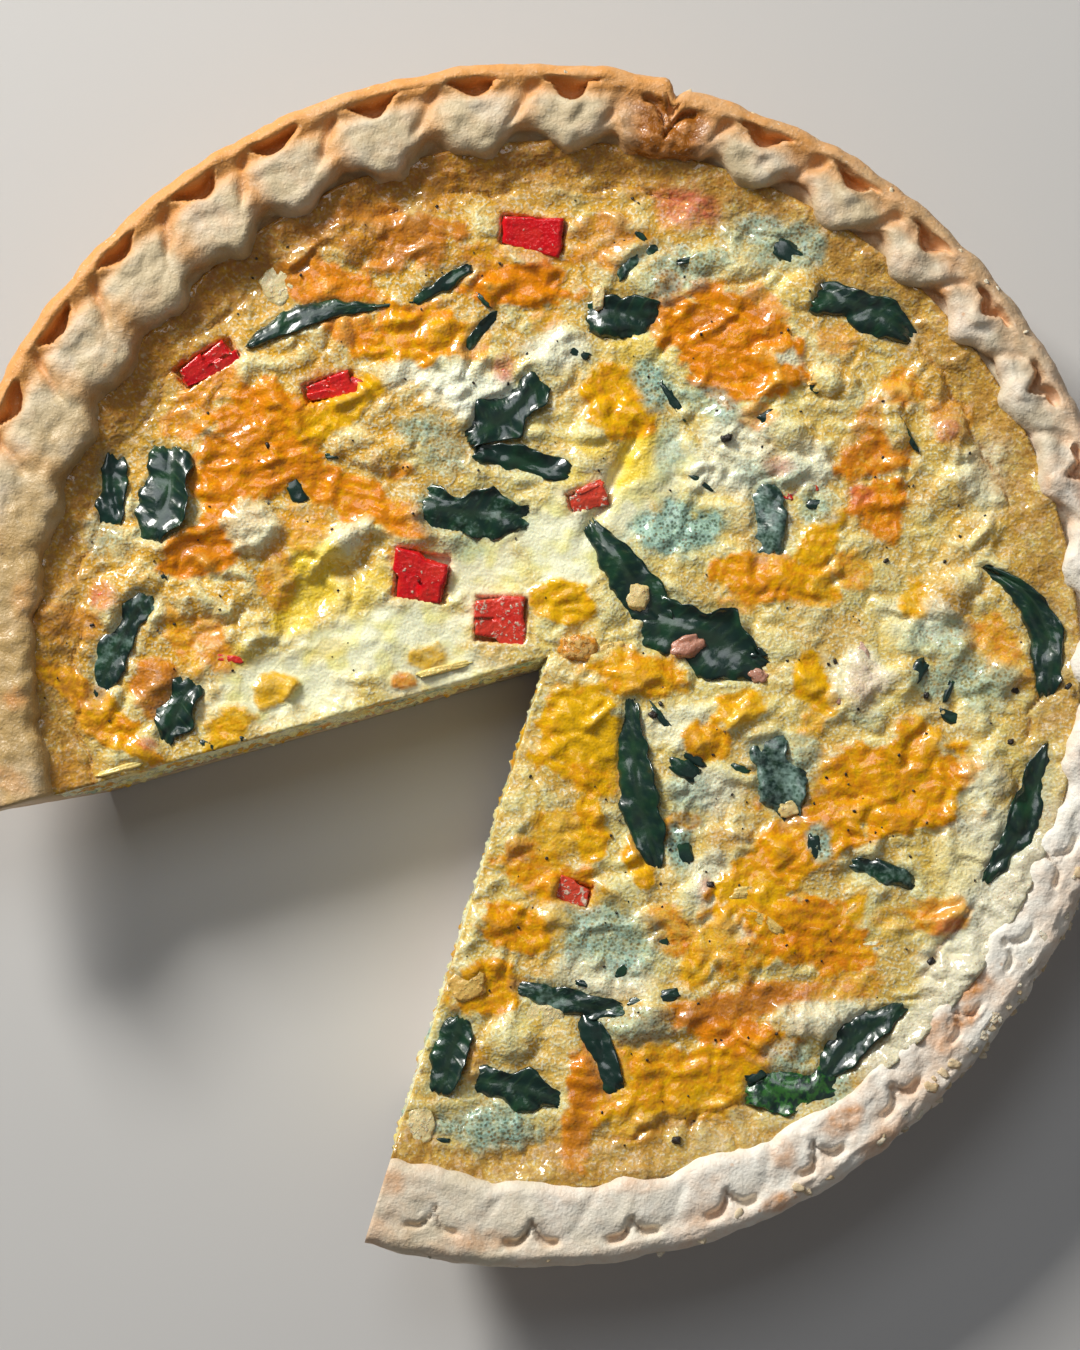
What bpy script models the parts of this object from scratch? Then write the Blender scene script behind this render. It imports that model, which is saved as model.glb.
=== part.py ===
"""Round egg quiche with one slice taken out, standing on its flat base.

Five kinds of piece: the pastry shell and its crimped rim, a layer of ham on the shell's floor, the baked
egg filling above it, and the spinach leaves and red pepper dice on top. The origin is the middle of the round shell, on
the surface it stands on; +Z is up. Sizes are in millimetres and are turned into metres as meshes are made.
"""
import math

import bmesh
import bpy
from mathutils import Matrix, Vector
from mathutils.bvhtree import BVHTree

MM = 0.001
GAP = 0.3                     # clearance left between touching pieces

# Pastry shell
RIM_RADIUS = 122.5            # outer edge of the crimped lip
RIM_HEIGHT = 35.0             # top of the crimp above the base
BASE_RADIUS = 90.0
FLOOR_THICKNESS = 4.5
WALL_TOP_RADIUS = 111.5       # outer wall, just under the lip
MOUTH_RADIUS = 103.5          # inner wall, where it meets the filling
MOUTH_HEIGHT = 27.0           # the lip is a ring of its own above this height
FLOOR_RADIUS = 88.0           # inner wall, where it meets the floor
CRIMPS = 38                   # pressed notches round the whole lip
COLUMNS_PER_CRIMP = 6
COLUMNS = CRIMPS * COLUMNS_PER_CRIMP
FIRST_NOTCH_COLUMN = 43       # a notch is centred on this column
NOTCH_DEPTH = 3.6
SIDE_SHIFT = 4.5              # the lip is this much narrower at +X and wider at -X
HEIGHT_LEAN = 1.2             # the lip stands this much higher on its high side
HIGH_SIDE = 130.0             # direction of the high side, in degrees from +X
FLAT_SIDE = -42.0             # direction of a flattened stretch of the lip
FLAT_DEPTH = 1.6

# Slice that was taken out
APEX = (3.2, 1.0)
CUT_LEFT = 195.8              # directions of the two cuts, in degrees from +X
CUT_RIGHT = 252.7

# Layers inside the shell
HAM_THICKNESS = 4.6
FILLING_TOP = 28.0
FILLING_RINGS = (22.0, 44.0, 64.0, 84.0)
FILLING_COLUMN_STEP = 3       # the filling uses every third column of the shell

# Toppings: x, y, length, width, heading in degrees, and sideways bow of the midrib
SPINACH = (
    (-78.5, 33.0, 19.5, 12.0, -104, 1.5),
    (-87.0, 34.0, 13.0, 5.0, -90, 0.0),
    (-45.5, 68.0, 25.0, 3.8, 18, 2.5),
    (-18.5, 76.5, 13.0, 2.6, 33, 0.0),
    (-10.0, 67.5, 11.0, 2.8, 50, 0.5),
    (-83.5, 2.5, 23.0, 6.0, -115, -1.0),
    (-73.0, -10.5, 12.5, 7.5, -106, 0.0),
    (-5.5, 51.5, 18.0, 9.5, -140, 1.0),
    (-2.0, 40.5, 18.0, 5.0, -11, 0.5),
    (-11.5, 31.0, 20.0, 11.0, -7, -1.0),
    (18.5, 71.0, 14.5, 9.5, 0, 0.0),
    (22.5, 82.0, 12.5, 2.8, 34, 1.0),
    (68.0, 70.5, 21.0, 8.5, -24, 1.5),
    (48.0, 29.0, 13.5, 6.0, -84, 0.5),
    (17.0, 21.0, 15.0, 6.0, -53, -0.5),
    (36.0, 6.0, 23.0, 12.0, -27, 1.5),
    (23.5, -25.0, 35.5, 8.5, -78, -2.5),
    (50.0, -24.0, 16.0, 8.0, -72, 0.0),
    (102.5, 6.0, 28.0, 6.0, -81, 3.5),
    (98.5, -32.0, 29.0, 4.2, -113, 2.0),
    (71.0, -43.5, 14.0, 4.5, -18, 0.5),
    (6.5, -68.0, 16.0, 7.0, -18, -1.0),
    (13.5, -80.5, 14.0, 5.2, -68, 0.5),
    (-16.5, -80.0, 16.0, 7.2, -106, 0.0),
    (-1.5, -88.5, 15.0, 8.0, -14, 0.5),
    (68.5, -75.5, 15.0, 6.0, -140, -1.0),
    (52.5, -87.0, 15.0, 8.5, -173, 0.5),
)
LEAF_THICKNESS = 0.9
LEAF_SEGMENTS = 5
LEAF_LIFT = 0.45              # height of a leaf's underside above the filling

# Red pepper dice: x, y, length, width, heading in degrees
PEPPER = (
    (0.0, 88.0, 13.5, 6.8, -8),
    (-66.5, 61.0, 13.5, 5.2, 30),
    (-41.5, 56.0, 11.0, 4.5, 15),
    (-22.5, 17.5, 11.5, 10.5, -8),
    (-6.5, 8.5, 11.0, 10.0, -4),
    (11.0, 33.5, 7.0, 4.5, 7),
    (8.5, -47.0, 6.5, 5.0, 6),
)
PEPPER_THICKNESS = 5.5
PEPPER_PROUD = 1.6            # height of a die's top above the filling
PEPPER_TILT = 6.0
PEPPER_BEVEL = 0.6


def clear_scene():
    """Removes every object that the file opened with."""
    for obj in list(bpy.data.objects):
        bpy.data.objects.remove(obj)


def make_material(name, colour, roughness):
    """A Principled material of one colour."""
    material = bpy.data.materials.new(name)
    material.use_nodes = True
    shader = material.node_tree.nodes["Principled BSDF"]
    shader.inputs["Base Color"].default_value = (*colour, 1.0)
    shader.inputs["Roughness"].default_value = roughness
    shader.inputs["Metallic"].default_value = 0.0
    return material


def make_object(name, points, faces, material=None):
    """A mesh object from points in millimetres, with its faces turned outwards."""
    mesh = bpy.data.meshes.new(name)
    mesh.from_pydata([Vector(p) * MM for p in points], [], faces)
    shape = bmesh.new()
    shape.from_mesh(mesh)
    bmesh.ops.recalc_face_normals(shape, faces=shape.faces)
    shape.to_mesh(mesh)
    shape.free()
    mesh.shade_smooth()
    mesh.set_sharp_from_angle(angle=math.radians(35))
    if material:
        mesh.materials.append(material)
    obj = bpy.data.objects.new(name, mesh)
    bpy.context.scene.collection.objects.link(obj)
    return obj


def make_cutter(name, points, faces):
    """A helper that only cuts other objects."""
    cutter = make_object(name, points, faces)
    cutter.hide_render = True
    cutter.display_type = "WIRE"
    return cutter


def cut(obj, cutter):
    """Takes the cutter's volume out of the object."""
    modifier = obj.modifiers.new("cut_" + cutter.name, "BOOLEAN")
    modifier.operation = "DIFFERENCE"
    modifier.object = cutter


def column_angle(column):
    """Angle of a shell column, in radians from +X."""
    return 2 * math.pi * column / COLUMNS


def toward(angle, direction):
    """1 where the angle points in the direction, given in degrees, falling to -1 opposite it."""
    return math.cos(angle - math.radians(direction))


def notch_weight(column):
    """1 at the middle of a pressed notch and 0 between notches."""
    phase = (column - FIRST_NOTCH_COLUMN) / COLUMNS_PER_CRIMP
    return max(0.0, math.cos(2 * math.pi * phase))


def mouth_shift(angle):
    """How far the inside of the lip lies out from its mean radius."""
    return SIDE_SHIFT * toward(angle, 0.0)


def shell_profile(column):
    """(radius, height) pairs of the floor and wall at a column, up the outside and down the inside."""
    mouth = MOUTH_RADIUS + mouth_shift(column_angle(column))
    height = MOUTH_HEIGHT - GAP / 2
    return (
        (BASE_RADIUS, 0.0),
        (BASE_RADIUS + 2.5, 1.5),
        (WALL_TOP_RADIUS, height),
        (mouth, height),
        (FLOOR_RADIUS, FLOOR_THICKNESS),
    )


def lip_profile(column):
    """(radius, height) pairs of the lip at a column, up the outside and down the inside."""
    angle = column_angle(column)
    notch = notch_weight(column)
    shift = mouth_shift(angle)
    lean = HEIGHT_LEAN * toward(angle, HIGH_SIDE)
    flat = FLAT_DEPTH * max(0.0, toward(angle, FLAT_SIDE)) ** 12
    edge = RIM_RADIUS - flat
    top = RIM_HEIGHT - HEIGHT_LEAN + lean
    mouth = MOUTH_RADIUS + shift
    height = MOUTH_HEIGHT + GAP / 2
    return (
        (WALL_TOP_RADIUS, height),
        (edge - 3.0, top - 6.5),
        (edge, top - 4.0),
        (edge - 3.0, top),
        (edge - 5.3, top - 0.7 - 0.4 * NOTCH_DEPTH * notch),
        (edge - 7.8, top - 1.0 - NOTCH_DEPTH * notch),
        (edge - 9.6 - 1.2 * notch + 0.3 * shift, top - 0.8 - 0.5 * NOTCH_DEPTH * notch),
        (mouth + 5.6 - 1.6 * notch, top),
        (mouth + 2.0 - 2.2 * notch, top - 3.5),
        (mouth, height),
    )


def turned_points(profiles):
    """The points of the profiles, each turned to its own column."""
    points = []
    for column, profile in enumerate(profiles):
        angle = column_angle(column)
        points += [(r * math.cos(angle), r * math.sin(angle), z) for r, z in profile]
    return points


def turned_faces(rings, closed):
    """The faces between neighbouring columns, where closed joins each profile's two ends."""
    steps = rings if closed else rings - 1
    faces = []
    for column in range(COLUMNS):
        here, there = column * rings, (column + 1) % COLUMNS * rings
        for k in range(steps):
            after = (k + 1) % rings
            faces.append((here + k, there + k, there + after, here + after))
    return faces


def build_shell(material):
    """The pastry shell's floor and sloping wall, as one turned outline."""
    profiles = [shell_profile(column) for column in range(COLUMNS)]
    rings = len(profiles[0])
    faces = turned_faces(rings, closed=False)
    faces.append([column * rings for column in range(COLUMNS)])
    faces.append([column * rings + rings - 1 for column in range(COLUMNS)])
    return make_object("crust", turned_points(profiles), faces, material)


def build_lip(material):
    """The crimped lip that stands on the shell's wall: a turned ring with pressed notches."""
    profiles = [lip_profile(column) for column in range(COLUMNS)]
    faces = turned_faces(len(profiles[0]), closed=True)
    return make_object("crimped_rim", turned_points(profiles), faces, material)


def inner_radius(angle, height):
    """Radius of the shell's inner wall at a height between the floor and the mouth."""
    share = (height - FLOOR_THICKNESS) / (MOUTH_HEIGHT - FLOOR_THICKNESS)
    return FLOOR_RADIUS + share * (MOUTH_RADIUS + mouth_shift(angle) - FLOOR_RADIUS)


def filling_top(x, y):
    """Height of the baked surface: puffed towards the lip, sunk in the middle, with slow swells."""
    puff = 1.0 * min(1.0, math.hypot(x, y) / 100.0) ** 2
    swell = 0.5 * math.sin(x / 17.0 + 0.6) * math.cos(y / 19.0 - 0.4)
    return FILLING_TOP - 0.8 + puff + swell


def filling_columns():
    """Angles of the columns that the layers inside the shell are built on."""
    return [column_angle(c) for c in range(0, COLUMNS, FILLING_COLUMN_STEP)]


def build_ham(material):
    """The ham on the shell's floor: a flat disc that follows the sloping wall."""
    low = FLOOR_THICKNESS + GAP
    high = low + HAM_THICKNESS
    angles = filling_columns()
    points = []
    for height in (low, high):
        for angle in angles:
            radius = inner_radius(angle, height) - 1.5 * GAP
            points.append((radius * math.cos(angle), radius * math.sin(angle), height))
    count = len(angles)
    faces = [list(range(count)), list(range(count, 2 * count))]
    faces += [(k, (k + 1) % count, count + (k + 1) % count, count + k) for k in range(count)]
    return make_object("ham_layer", points, faces, material), high


def build_filling(material, floor):
    """The egg filling: a solid from the ham up to the baked surface, inside the shell's wall."""
    angles = filling_columns()
    count = len(angles)
    low = floor + GAP
    points = [(0.0, 0.0, filling_top(0.0, 0.0))]
    for radius in FILLING_RINGS:
        for angle in angles:
            x, y = radius * math.cos(angle), radius * math.sin(angle)
            points.append((x, y, filling_top(x, y)))
    for height in (MOUTH_HEIGHT, low):
        for angle in angles:
            radius = inner_radius(angle, height) - 1.5 * GAP
            points.append((radius * math.cos(angle), radius * math.sin(angle), height))
    faces = [(0, 1 + k, 1 + (k + 1) % count) for k in range(count)]
    for ring in range(len(FILLING_RINGS) + 1):
        start = 1 + ring * count
        for k in range(count):
            after = (k + 1) % count
            faces.append((start + k, start + count + k, start + count + after, start + after))
    last = 1 + (len(FILLING_RINGS) + 1) * count
    faces.append([last + k for k in range(count)])
    return make_object("filling", points, faces, material)


def slice_cutter():
    """The wedge of the slice that was taken out."""
    reach, low, high = 200.0, -10.0, 60.0
    left, right = math.radians(CUT_LEFT), math.radians(CUT_RIGHT)
    corners = [
        APEX,
        (APEX[0] + reach * math.cos(left), APEX[1] + reach * math.sin(left)),
        (APEX[0] + reach * math.cos(right), APEX[1] + reach * math.sin(right)),
    ]
    points = [(x, y, z) for z in (low, high) for x, y in corners]
    faces = [(0, 1, 2), (3, 4, 5), (0, 1, 4, 3), (1, 2, 5, 4), (2, 0, 3, 5)]
    return make_cutter("slice_cutter", points, faces)


def pepper_corners(die, extra):
    """The eight corners of a die, or of its socket where extra is the clearance all round."""
    x, y, length, width, heading = die
    top = filling_top(x, y) + PEPPER_PROUD
    turn = Matrix.Rotation(math.radians(heading), 3, "Z") @ Matrix.Rotation(math.radians(PEPPER_TILT), 3, "X")
    centre = Vector((x, y, top - PEPPER_THICKNESS / 2))
    half = (length / 2 + extra, width / 2 + extra, PEPPER_THICKNESS / 2 + extra)
    signs = [(a, b, c) for c in (-1, 1) for b in (-1, 1) for a in (-1, 1)]
    return [centre + turn @ Vector([s * h for s, h in zip(sign, half)]) for sign in signs]


BOX_FACES = ((0, 1, 3, 2), (4, 5, 7, 6), (0, 1, 5, 4), (2, 3, 7, 6), (0, 2, 6, 4), (1, 3, 7, 5))


def build_peppers(filling, material):
    """The red pepper dice, each sunk in its own socket in the filling."""
    for number, die in enumerate(PEPPER, 1):
        obj = make_object(f"pepper_{number}", pepper_corners(die, 0.0), BOX_FACES, material)
        bevel = obj.modifiers.new("bevel", "BEVEL")
        bevel.width = PEPPER_BEVEL * MM
        bevel.segments = 1
        points, faces = pepper_corners(die, GAP), BOX_FACES
        cut(filling, make_cutter(f"pepper_socket_{number}", points, faces))


def leaf_outline(share):
    """Half width of a leaf, as a share of its widest, at a share of its length."""
    return 0.25 + 0.75 * math.sin(math.pi * min(1.0, 0.12 + 0.82 * share)) ** 0.8


def keep_inside(x, y):
    """The point, pulled in where it would touch the lip."""
    angle, radius = math.atan2(y, x), math.hypot(x, y)
    limit = MOUTH_RADIUS + mouth_shift(angle) - 2.6
    scale = min(1.0, limit / radius)
    return x * scale, y * scale


def build_leaf(name, leaf, surface, material):
    """One flat spinach leaf with a bowed midrib, draped over the filling."""
    x, y, length, width, heading, bow = leaf
    along = Vector((math.cos(math.radians(heading)), math.sin(math.radians(heading))))
    side = Vector((-along.y, along.x))
    points = []
    for level in (0.0, LEAF_THICKNESS):
        for k in range(LEAF_SEGMENTS + 1):
            share = k / LEAF_SEGMENTS
            middle = Vector((x, y)) + along * length * (share - 0.5) + side * bow * math.sin(math.pi * share)
            for across in (-0.5, 0.0, 0.5):
                px, py = keep_inside(*(middle + side * across * width * leaf_outline(share)))
                hit = surface.ray_cast(Vector((px, py, 100.0)) * MM, Vector((0, 0, -1)))[0]
                points.append((px, py, hit.z / MM + LEAF_LIFT + level))
    row, layer = 3, 3 * (LEAF_SEGMENTS + 1)
    faces = []
    for k in range(LEAF_SEGMENTS):
        for j in range(row - 1):
            a = k * row + j
            faces.append((a, a + 1, a + row + 1, a + row))
            faces.append((layer + a, layer + a + 1, layer + a + row + 1, layer + a + row))
        for a in (k * row, k * row + row - 1):
            faces.append((a, a + row, layer + a + row, layer + a))
    for a in (0, 1, LEAF_SEGMENTS * row, LEAF_SEGMENTS * row + 1):
        faces.append((a, a + 1, layer + a + 1, layer + a))
    return make_object(name, points, faces, material)


def build_spinach(filling, material):
    """The spinach leaves, each laid on the filling's own surface."""
    bpy.context.view_layer.update()
    surface = BVHTree.FromObject(filling, bpy.context.evaluated_depsgraph_get())
    for number, leaf in enumerate(SPINACH, 1):
        build_leaf(f"spinach_{number:02d}", leaf, surface, material)


def main():
    """Builds the shell and its layers, takes the slice out, then lays the toppings."""
    clear_scene()
    pastry = make_material("pastry", (0.80, 0.62, 0.40), 0.65)
    meat = make_material("ham", (0.78, 0.45, 0.40), 0.45)
    egg = make_material("egg", (0.90, 0.66, 0.22), 0.45)
    green = make_material("spinach", (0.02, 0.09, 0.035), 0.25)
    red = make_material("red_pepper", (0.62, 0.02, 0.015), 0.3)
    wedge = slice_cutter()
    shell = build_shell(pastry)
    lip = build_lip(pastry)
    ham, ham_top = build_ham(meat)
    filling = build_filling(egg, ham_top)
    for layer in (shell, lip, ham, filling):
        cut(layer, wedge)
    build_peppers(filling, red)
    build_spinach(filling, green)


main()
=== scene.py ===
import logging
import math
from dataclasses import dataclass
from enum import Enum

import bpy
import numpy as np
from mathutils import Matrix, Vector


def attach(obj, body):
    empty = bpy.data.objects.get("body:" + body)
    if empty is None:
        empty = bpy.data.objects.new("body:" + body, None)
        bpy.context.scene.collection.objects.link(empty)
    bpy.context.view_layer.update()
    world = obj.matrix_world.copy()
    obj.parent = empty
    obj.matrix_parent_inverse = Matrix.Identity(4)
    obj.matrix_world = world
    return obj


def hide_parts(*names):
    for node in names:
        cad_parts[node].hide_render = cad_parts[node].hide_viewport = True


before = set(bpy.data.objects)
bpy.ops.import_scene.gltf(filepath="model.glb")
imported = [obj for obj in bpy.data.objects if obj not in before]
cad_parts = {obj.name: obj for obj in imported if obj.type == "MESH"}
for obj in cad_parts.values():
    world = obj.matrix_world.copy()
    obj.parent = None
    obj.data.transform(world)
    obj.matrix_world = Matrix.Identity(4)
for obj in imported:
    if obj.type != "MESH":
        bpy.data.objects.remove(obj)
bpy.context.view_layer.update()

MM = 0.001
LOG = logging.getLogger("quiche")


# Numbers and noise ---------------------------------------------------------------------------------


def smooth(low: float, high: float, value: np.ndarray) -> np.ndarray:
    """Eases from 0 at low to 1 at high, and the other way where high is the smaller."""
    share = np.clip((value - low) / (high - low), 0.0, 1.0)
    return share * share * (3.0 - 2.0 * share)


def blend(first: np.ndarray, second: np.ndarray, share: np.ndarray) -> np.ndarray:
    """Mixes two values by a share that runs from 0 for the first to 1 for the second."""
    return first + (second - first) * share


class Noise:
    """Seeded smooth noise and scattered cells; sizes are in millimetres."""

    def __init__(self, seed: int) -> None:
        """Draws the tables that the noise reads.

        Args:
            seed: Number that fixes the pattern.
        """
        draw = np.random.default_rng(seed)
        order = draw.permutation(256)
        self.order = np.concatenate([order, order])
        ways = draw.normal(size=(256, 3))
        self.ways = ways / np.linalg.norm(ways, axis=1, keepdims=True)
        self.spots = draw.random((256, 2))

    def at(self, points: np.ndarray, size: float) -> np.ndarray:
        """Smooth noise of one size.

        Args:
            points: Array of x, y, z rows in millimetres.
            size: Distance between the noise's own knots.

        Returns:
            One value for each point, from about -1 to 1.
        """
        scaled = points / size
        cell = np.floor(scaled).astype(int)
        part = scaled - cell
        fade = part**3 * (part * (part * 6.0 - 15.0) + 10.0)
        total = np.zeros(len(points))
        for corner in np.ndindex(2, 2, 2):
            index = (cell + corner) & 255
            spot = self.order[self.order[self.order[index[:, 0]] + index[:, 1]] + index[:, 2]]
            slope = ((part - corner) * self.ways[spot]).sum(axis=1)
            weight = np.where(np.array(corner) == 1, fade, 1.0 - fade).prod(axis=1)
            total += slope * weight
        return 1.8 * total

    def layered(self, points: np.ndarray, size: float, layers: int = 3,
                fall: float = 0.5) -> np.ndarray:
        """Several sizes of noise, each half as large as the one before it.

        Args:
            points: Array of x, y, z rows in millimetres.
            size: Size of the first layer.
            layers: Number of layers.
            fall: Strength of each layer as a share of the one before it.

        Returns:
            One value for each point, from about -1 to 1.
        """
        total = np.zeros(len(points))
        for layer in range(layers):
            total += fall**layer * self.at(points + 37.0 * layer, size / 2**layer)
        return total

    def cells(self, points: np.ndarray, size: float) -> tuple[np.ndarray, np.ndarray]:
        """Distances to scattered seeds on the plan.

        Args:
            points: Array whose first two columns are x and y in millimetres.
            size: Mean distance between seeds.

        Returns:
            The distance to the nearest seed as a share of size, and a random value of that seed.
        """
        scaled = points[:, :2] / size
        cell = np.floor(scaled).astype(int)
        best = np.full(len(points), 9.0)
        tag = np.zeros(len(points))
        for step in np.ndindex(3, 3):
            index = cell + step - 1
            spot = self.order[self.order[index[:, 0] & 255] + (index[:, 1] & 255)]
            gap = scaled - index - self.spots[spot]
            distance = np.hypot(gap[:, 0], gap[:, 1])
            tag = np.where(distance < best, spot / 255.0, tag)
            best = np.minimum(best, distance)
        return best, tag


def flat_points(x: np.ndarray, y: np.ndarray, z: float | np.ndarray = 0.0) -> np.ndarray:
    """Rows of x, y, z from separate coordinates."""
    return np.stack([x, y, np.broadcast_to(z, np.shape(x))], axis=-1).reshape(-1, 3)


# Meshes --------------------------------------------------------------------------------------------


def make_mesh(name: str, points: np.ndarray, faces: list, fields: dict[str, np.ndarray],
              material: bpy.types.Material) -> bpy.types.Object:
    """Makes a smooth mesh object.

    Args:
        name: The object's name.
        points: Array of x, y, z rows in millimetres.
        faces: Arrays of corner rows, one array for each number of corners.
        fields: Values for each point, by attribute name.
        material: What the object is made of.

    Returns:
        The object, linked to the scene.
    """
    blocks = [np.asarray(block, dtype=np.int32) for block in faces if len(block)]
    corners = np.concatenate([block.ravel() for block in blocks])
    totals = np.concatenate([np.full(len(block), block.shape[1], np.int32) for block in blocks])
    starts = np.concatenate([[0], np.cumsum(totals)[:-1]]).astype(np.int32)
    mesh = bpy.data.meshes.new(name)
    mesh.vertices.add(len(points))
    mesh.vertices.foreach_set("co", (np.asarray(points) * MM).astype(np.float32).ravel())
    mesh.loops.add(len(corners))
    mesh.loops.foreach_set("vertex_index", corners)
    mesh.polygons.add(len(totals))
    mesh.polygons.foreach_set("loop_start", starts)
    mesh.polygons.foreach_set("loop_total", totals)
    mesh.update(calc_edges=True)
    mesh.validate()
    mesh.shade_smooth()
    for label, values in fields.items():
        attribute = mesh.attributes.new(label, "FLOAT", "POINT")
        attribute.data.foreach_set("value", np.asarray(values, np.float32))
    mesh.materials.append(material)
    piece = bpy.data.objects.new(name, mesh)
    bpy.context.scene.collection.objects.link(piece)
    return piece


def quads_of(number: np.ndarray) -> np.ndarray:
    """Quads between neighbouring rows and columns of point numbers."""
    corners = [number[:-1, :-1], number[:-1, 1:], number[1:, 1:], number[1:, :-1]]
    return np.stack(corners, -1).reshape(-1, 4)


def grid_faces(rows: int, columns: int, start: int = 0) -> np.ndarray:
    """Quads of a grid of points stored row by row.

    Args:
        rows: Number of rows of points.
        columns: Number of points in a row.
        start: Number of the grid's first point.

    Returns:
        Rows of four corners.
    """
    return quads_of(start + np.arange(rows * columns).reshape(rows, columns))


def sheet_mesh(upper: np.ndarray, lower: np.ndarray) -> tuple[np.ndarray, np.ndarray]:
    """A closed skin round two grids of points that lie face to face.

    Args:
        upper: Array of rows, columns and x, y, z.
        lower: The same for the other side.

    Returns:
        The points and the quads.
    """
    rows, columns = upper.shape[:2]
    points = np.concatenate([upper.reshape(-1, 3), lower.reshape(-1, 3)])
    number = np.arange(rows * columns).reshape(rows, columns)
    border = np.concatenate([number[0, :-1], number[:-1, -1], number[-1, :0:-1], number[:0:-1, 0]])
    after = np.roll(border, -1)
    under = rows * columns
    rim = np.stack([after, border, border + under, after + under], axis=-1)
    bottom = grid_faces(rows, columns, under)[:, ::-1]
    return points, np.concatenate([grid_faces(rows, columns), bottom, rim])


class Bits:
    """Gathers many small closed solids into one mesh."""

    def __init__(self) -> None:
        """Starts with nothing in it."""
        self.points: list[np.ndarray] = []
        self.quads: list[np.ndarray] = []
        self.values: list[np.ndarray] = []
        self.count = 0

    def add(self, points: np.ndarray, quads: np.ndarray, value: float = 0.0) -> None:
        """Adds one solid.

        Args:
            points: Its points in millimetres.
            quads: Its faces.
            value: A number that its material reads.
        """
        self.points.append(points)
        self.quads.append(quads + self.count)
        self.values.append(np.full(len(points), value))
        self.count += len(points)

    def join(self, name: str, material: bpy.types.Material) -> bpy.types.Object:
        """The gathered solids as one object."""
        points, quads, tone = map(np.concatenate, (self.points, self.quads, self.values))
        return make_mesh(name, points, [quads], {"tone": tone}, material)


def turned(points: np.ndarray, heading: float) -> np.ndarray:
    """Points turned about Z by an angle in degrees."""
    c, s = math.cos(math.radians(heading)), math.sin(math.radians(heading))
    x, y, z = points.T
    return np.stack([x * c - y * s, x * s + y * c, z], -1)


def lump(noise: Noise, centre: tuple[float, float, float], size: tuple[float, float, float],
         heading: float, rough: float, square: float, sides: int) -> tuple[np.ndarray, np.ndarray]:
    """An uneven closed lump, round or squared off.

    Args:
        noise: Where its unevenness comes from.
        centre: Its middle.
        size: Its length, width and height.
        heading: Direction of its length, in degrees.
        rough: How uneven it is.
        square: 0 for round, up to 1 for a block with soft edges.
        sides: Points along each side of the block that it is made from.

    Returns:
        The points and the quads.
    """
    line = np.linspace(-1.0, 1.0, sides)
    grid = np.stack(np.meshgrid(line, line, indexing="ij"), axis=-1).reshape(-1, 2)
    walls = []
    for axis in range(3):
        walls += [np.insert(grid[:, ::-1], axis, -1.0, axis=1), np.insert(grid, axis, 1.0, axis=1)]
    cube = np.concatenate(walls)
    keys = np.round(cube * 1000).astype(int)
    _, first, inverse = np.unique(keys, axis=0, return_index=True, return_inverse=True)
    cube = cube[first]
    faces = np.concatenate([grid_faces(sides, sides, k * sides * sides) for k in range(6)])
    faces = inverse.ravel()[faces]
    ball = cube / np.linalg.norm(cube, axis=1, keepdims=True)
    shape = blend(ball, cube * 0.86, square)
    middle = np.array(centre)
    shape = shape * (1.0 + rough * noise.layered(ball * 1.3 + middle, 1.0, 2)[:, None])
    shape = shape * np.array(size) / 2.0
    start = shape[faces[:, 0]]
    normal_way = np.cross(shape[faces[:, 1]] - start, shape[faces[:, 2]] - start)
    inward = (normal_way * shape[faces].mean(axis=1)).sum(axis=1) < 0.0
    faces[inward] = faces[inward][:, ::-1]
    return turned(shape, heading) + middle, faces


# Materials -----------------------------------------------------------------------------------------


class Signal:
    """A node's output that Python arithmetic works on."""

    def __init__(self, graph: "Graph", socket: bpy.types.NodeSocket) -> None:
        """Wraps a socket.

        Args:
            graph: The material that the socket is in.
            socket: The output.
        """
        self.graph = graph
        self.socket = socket

    def maths(self, operation: str, *values: "Signal | float") -> "Signal":
        """A Math node on these values."""
        inputs = dict(enumerate(values))
        return self.graph.signal("ShaderNodeMath", {"operation": operation}, inputs, 0)

    def __add__(self, other: "Signal | float") -> "Signal":
        """Sum."""
        return self.maths("ADD", self, other)

    __radd__ = __add__

    def __sub__(self, other: "Signal | float") -> "Signal":
        """Difference."""
        return self.maths("SUBTRACT", self, other)

    def __rsub__(self, other: "Signal | float") -> "Signal":
        """Difference from a number."""
        return self.maths("SUBTRACT", other, self)

    def __mul__(self, other: "Signal | float") -> "Signal":
        """Product."""
        return self.maths("MULTIPLY", self, other)

    __rmul__ = __mul__

    def clamp(self) -> "Signal":
        """The value kept between 0 and 1."""
        return self.maths("MAXIMUM", self.maths("MINIMUM", self, 1.0), 0.0)

    def ramp(self, low: float, high: float) -> "Signal":
        """Eases from 0 at low to 1 at high, and the other way where high is the smaller."""
        settings = {"interpolation_type": "SMOOTHSTEP"}
        if low < high:
            inputs = {"Value": self, "From Min": low, "From Max": high}
            return self.graph.signal("ShaderNodeMapRange", settings, inputs, 0)
        return 1.0 - self.ramp(high, low)


Colour = tuple[float, float, float]


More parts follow.
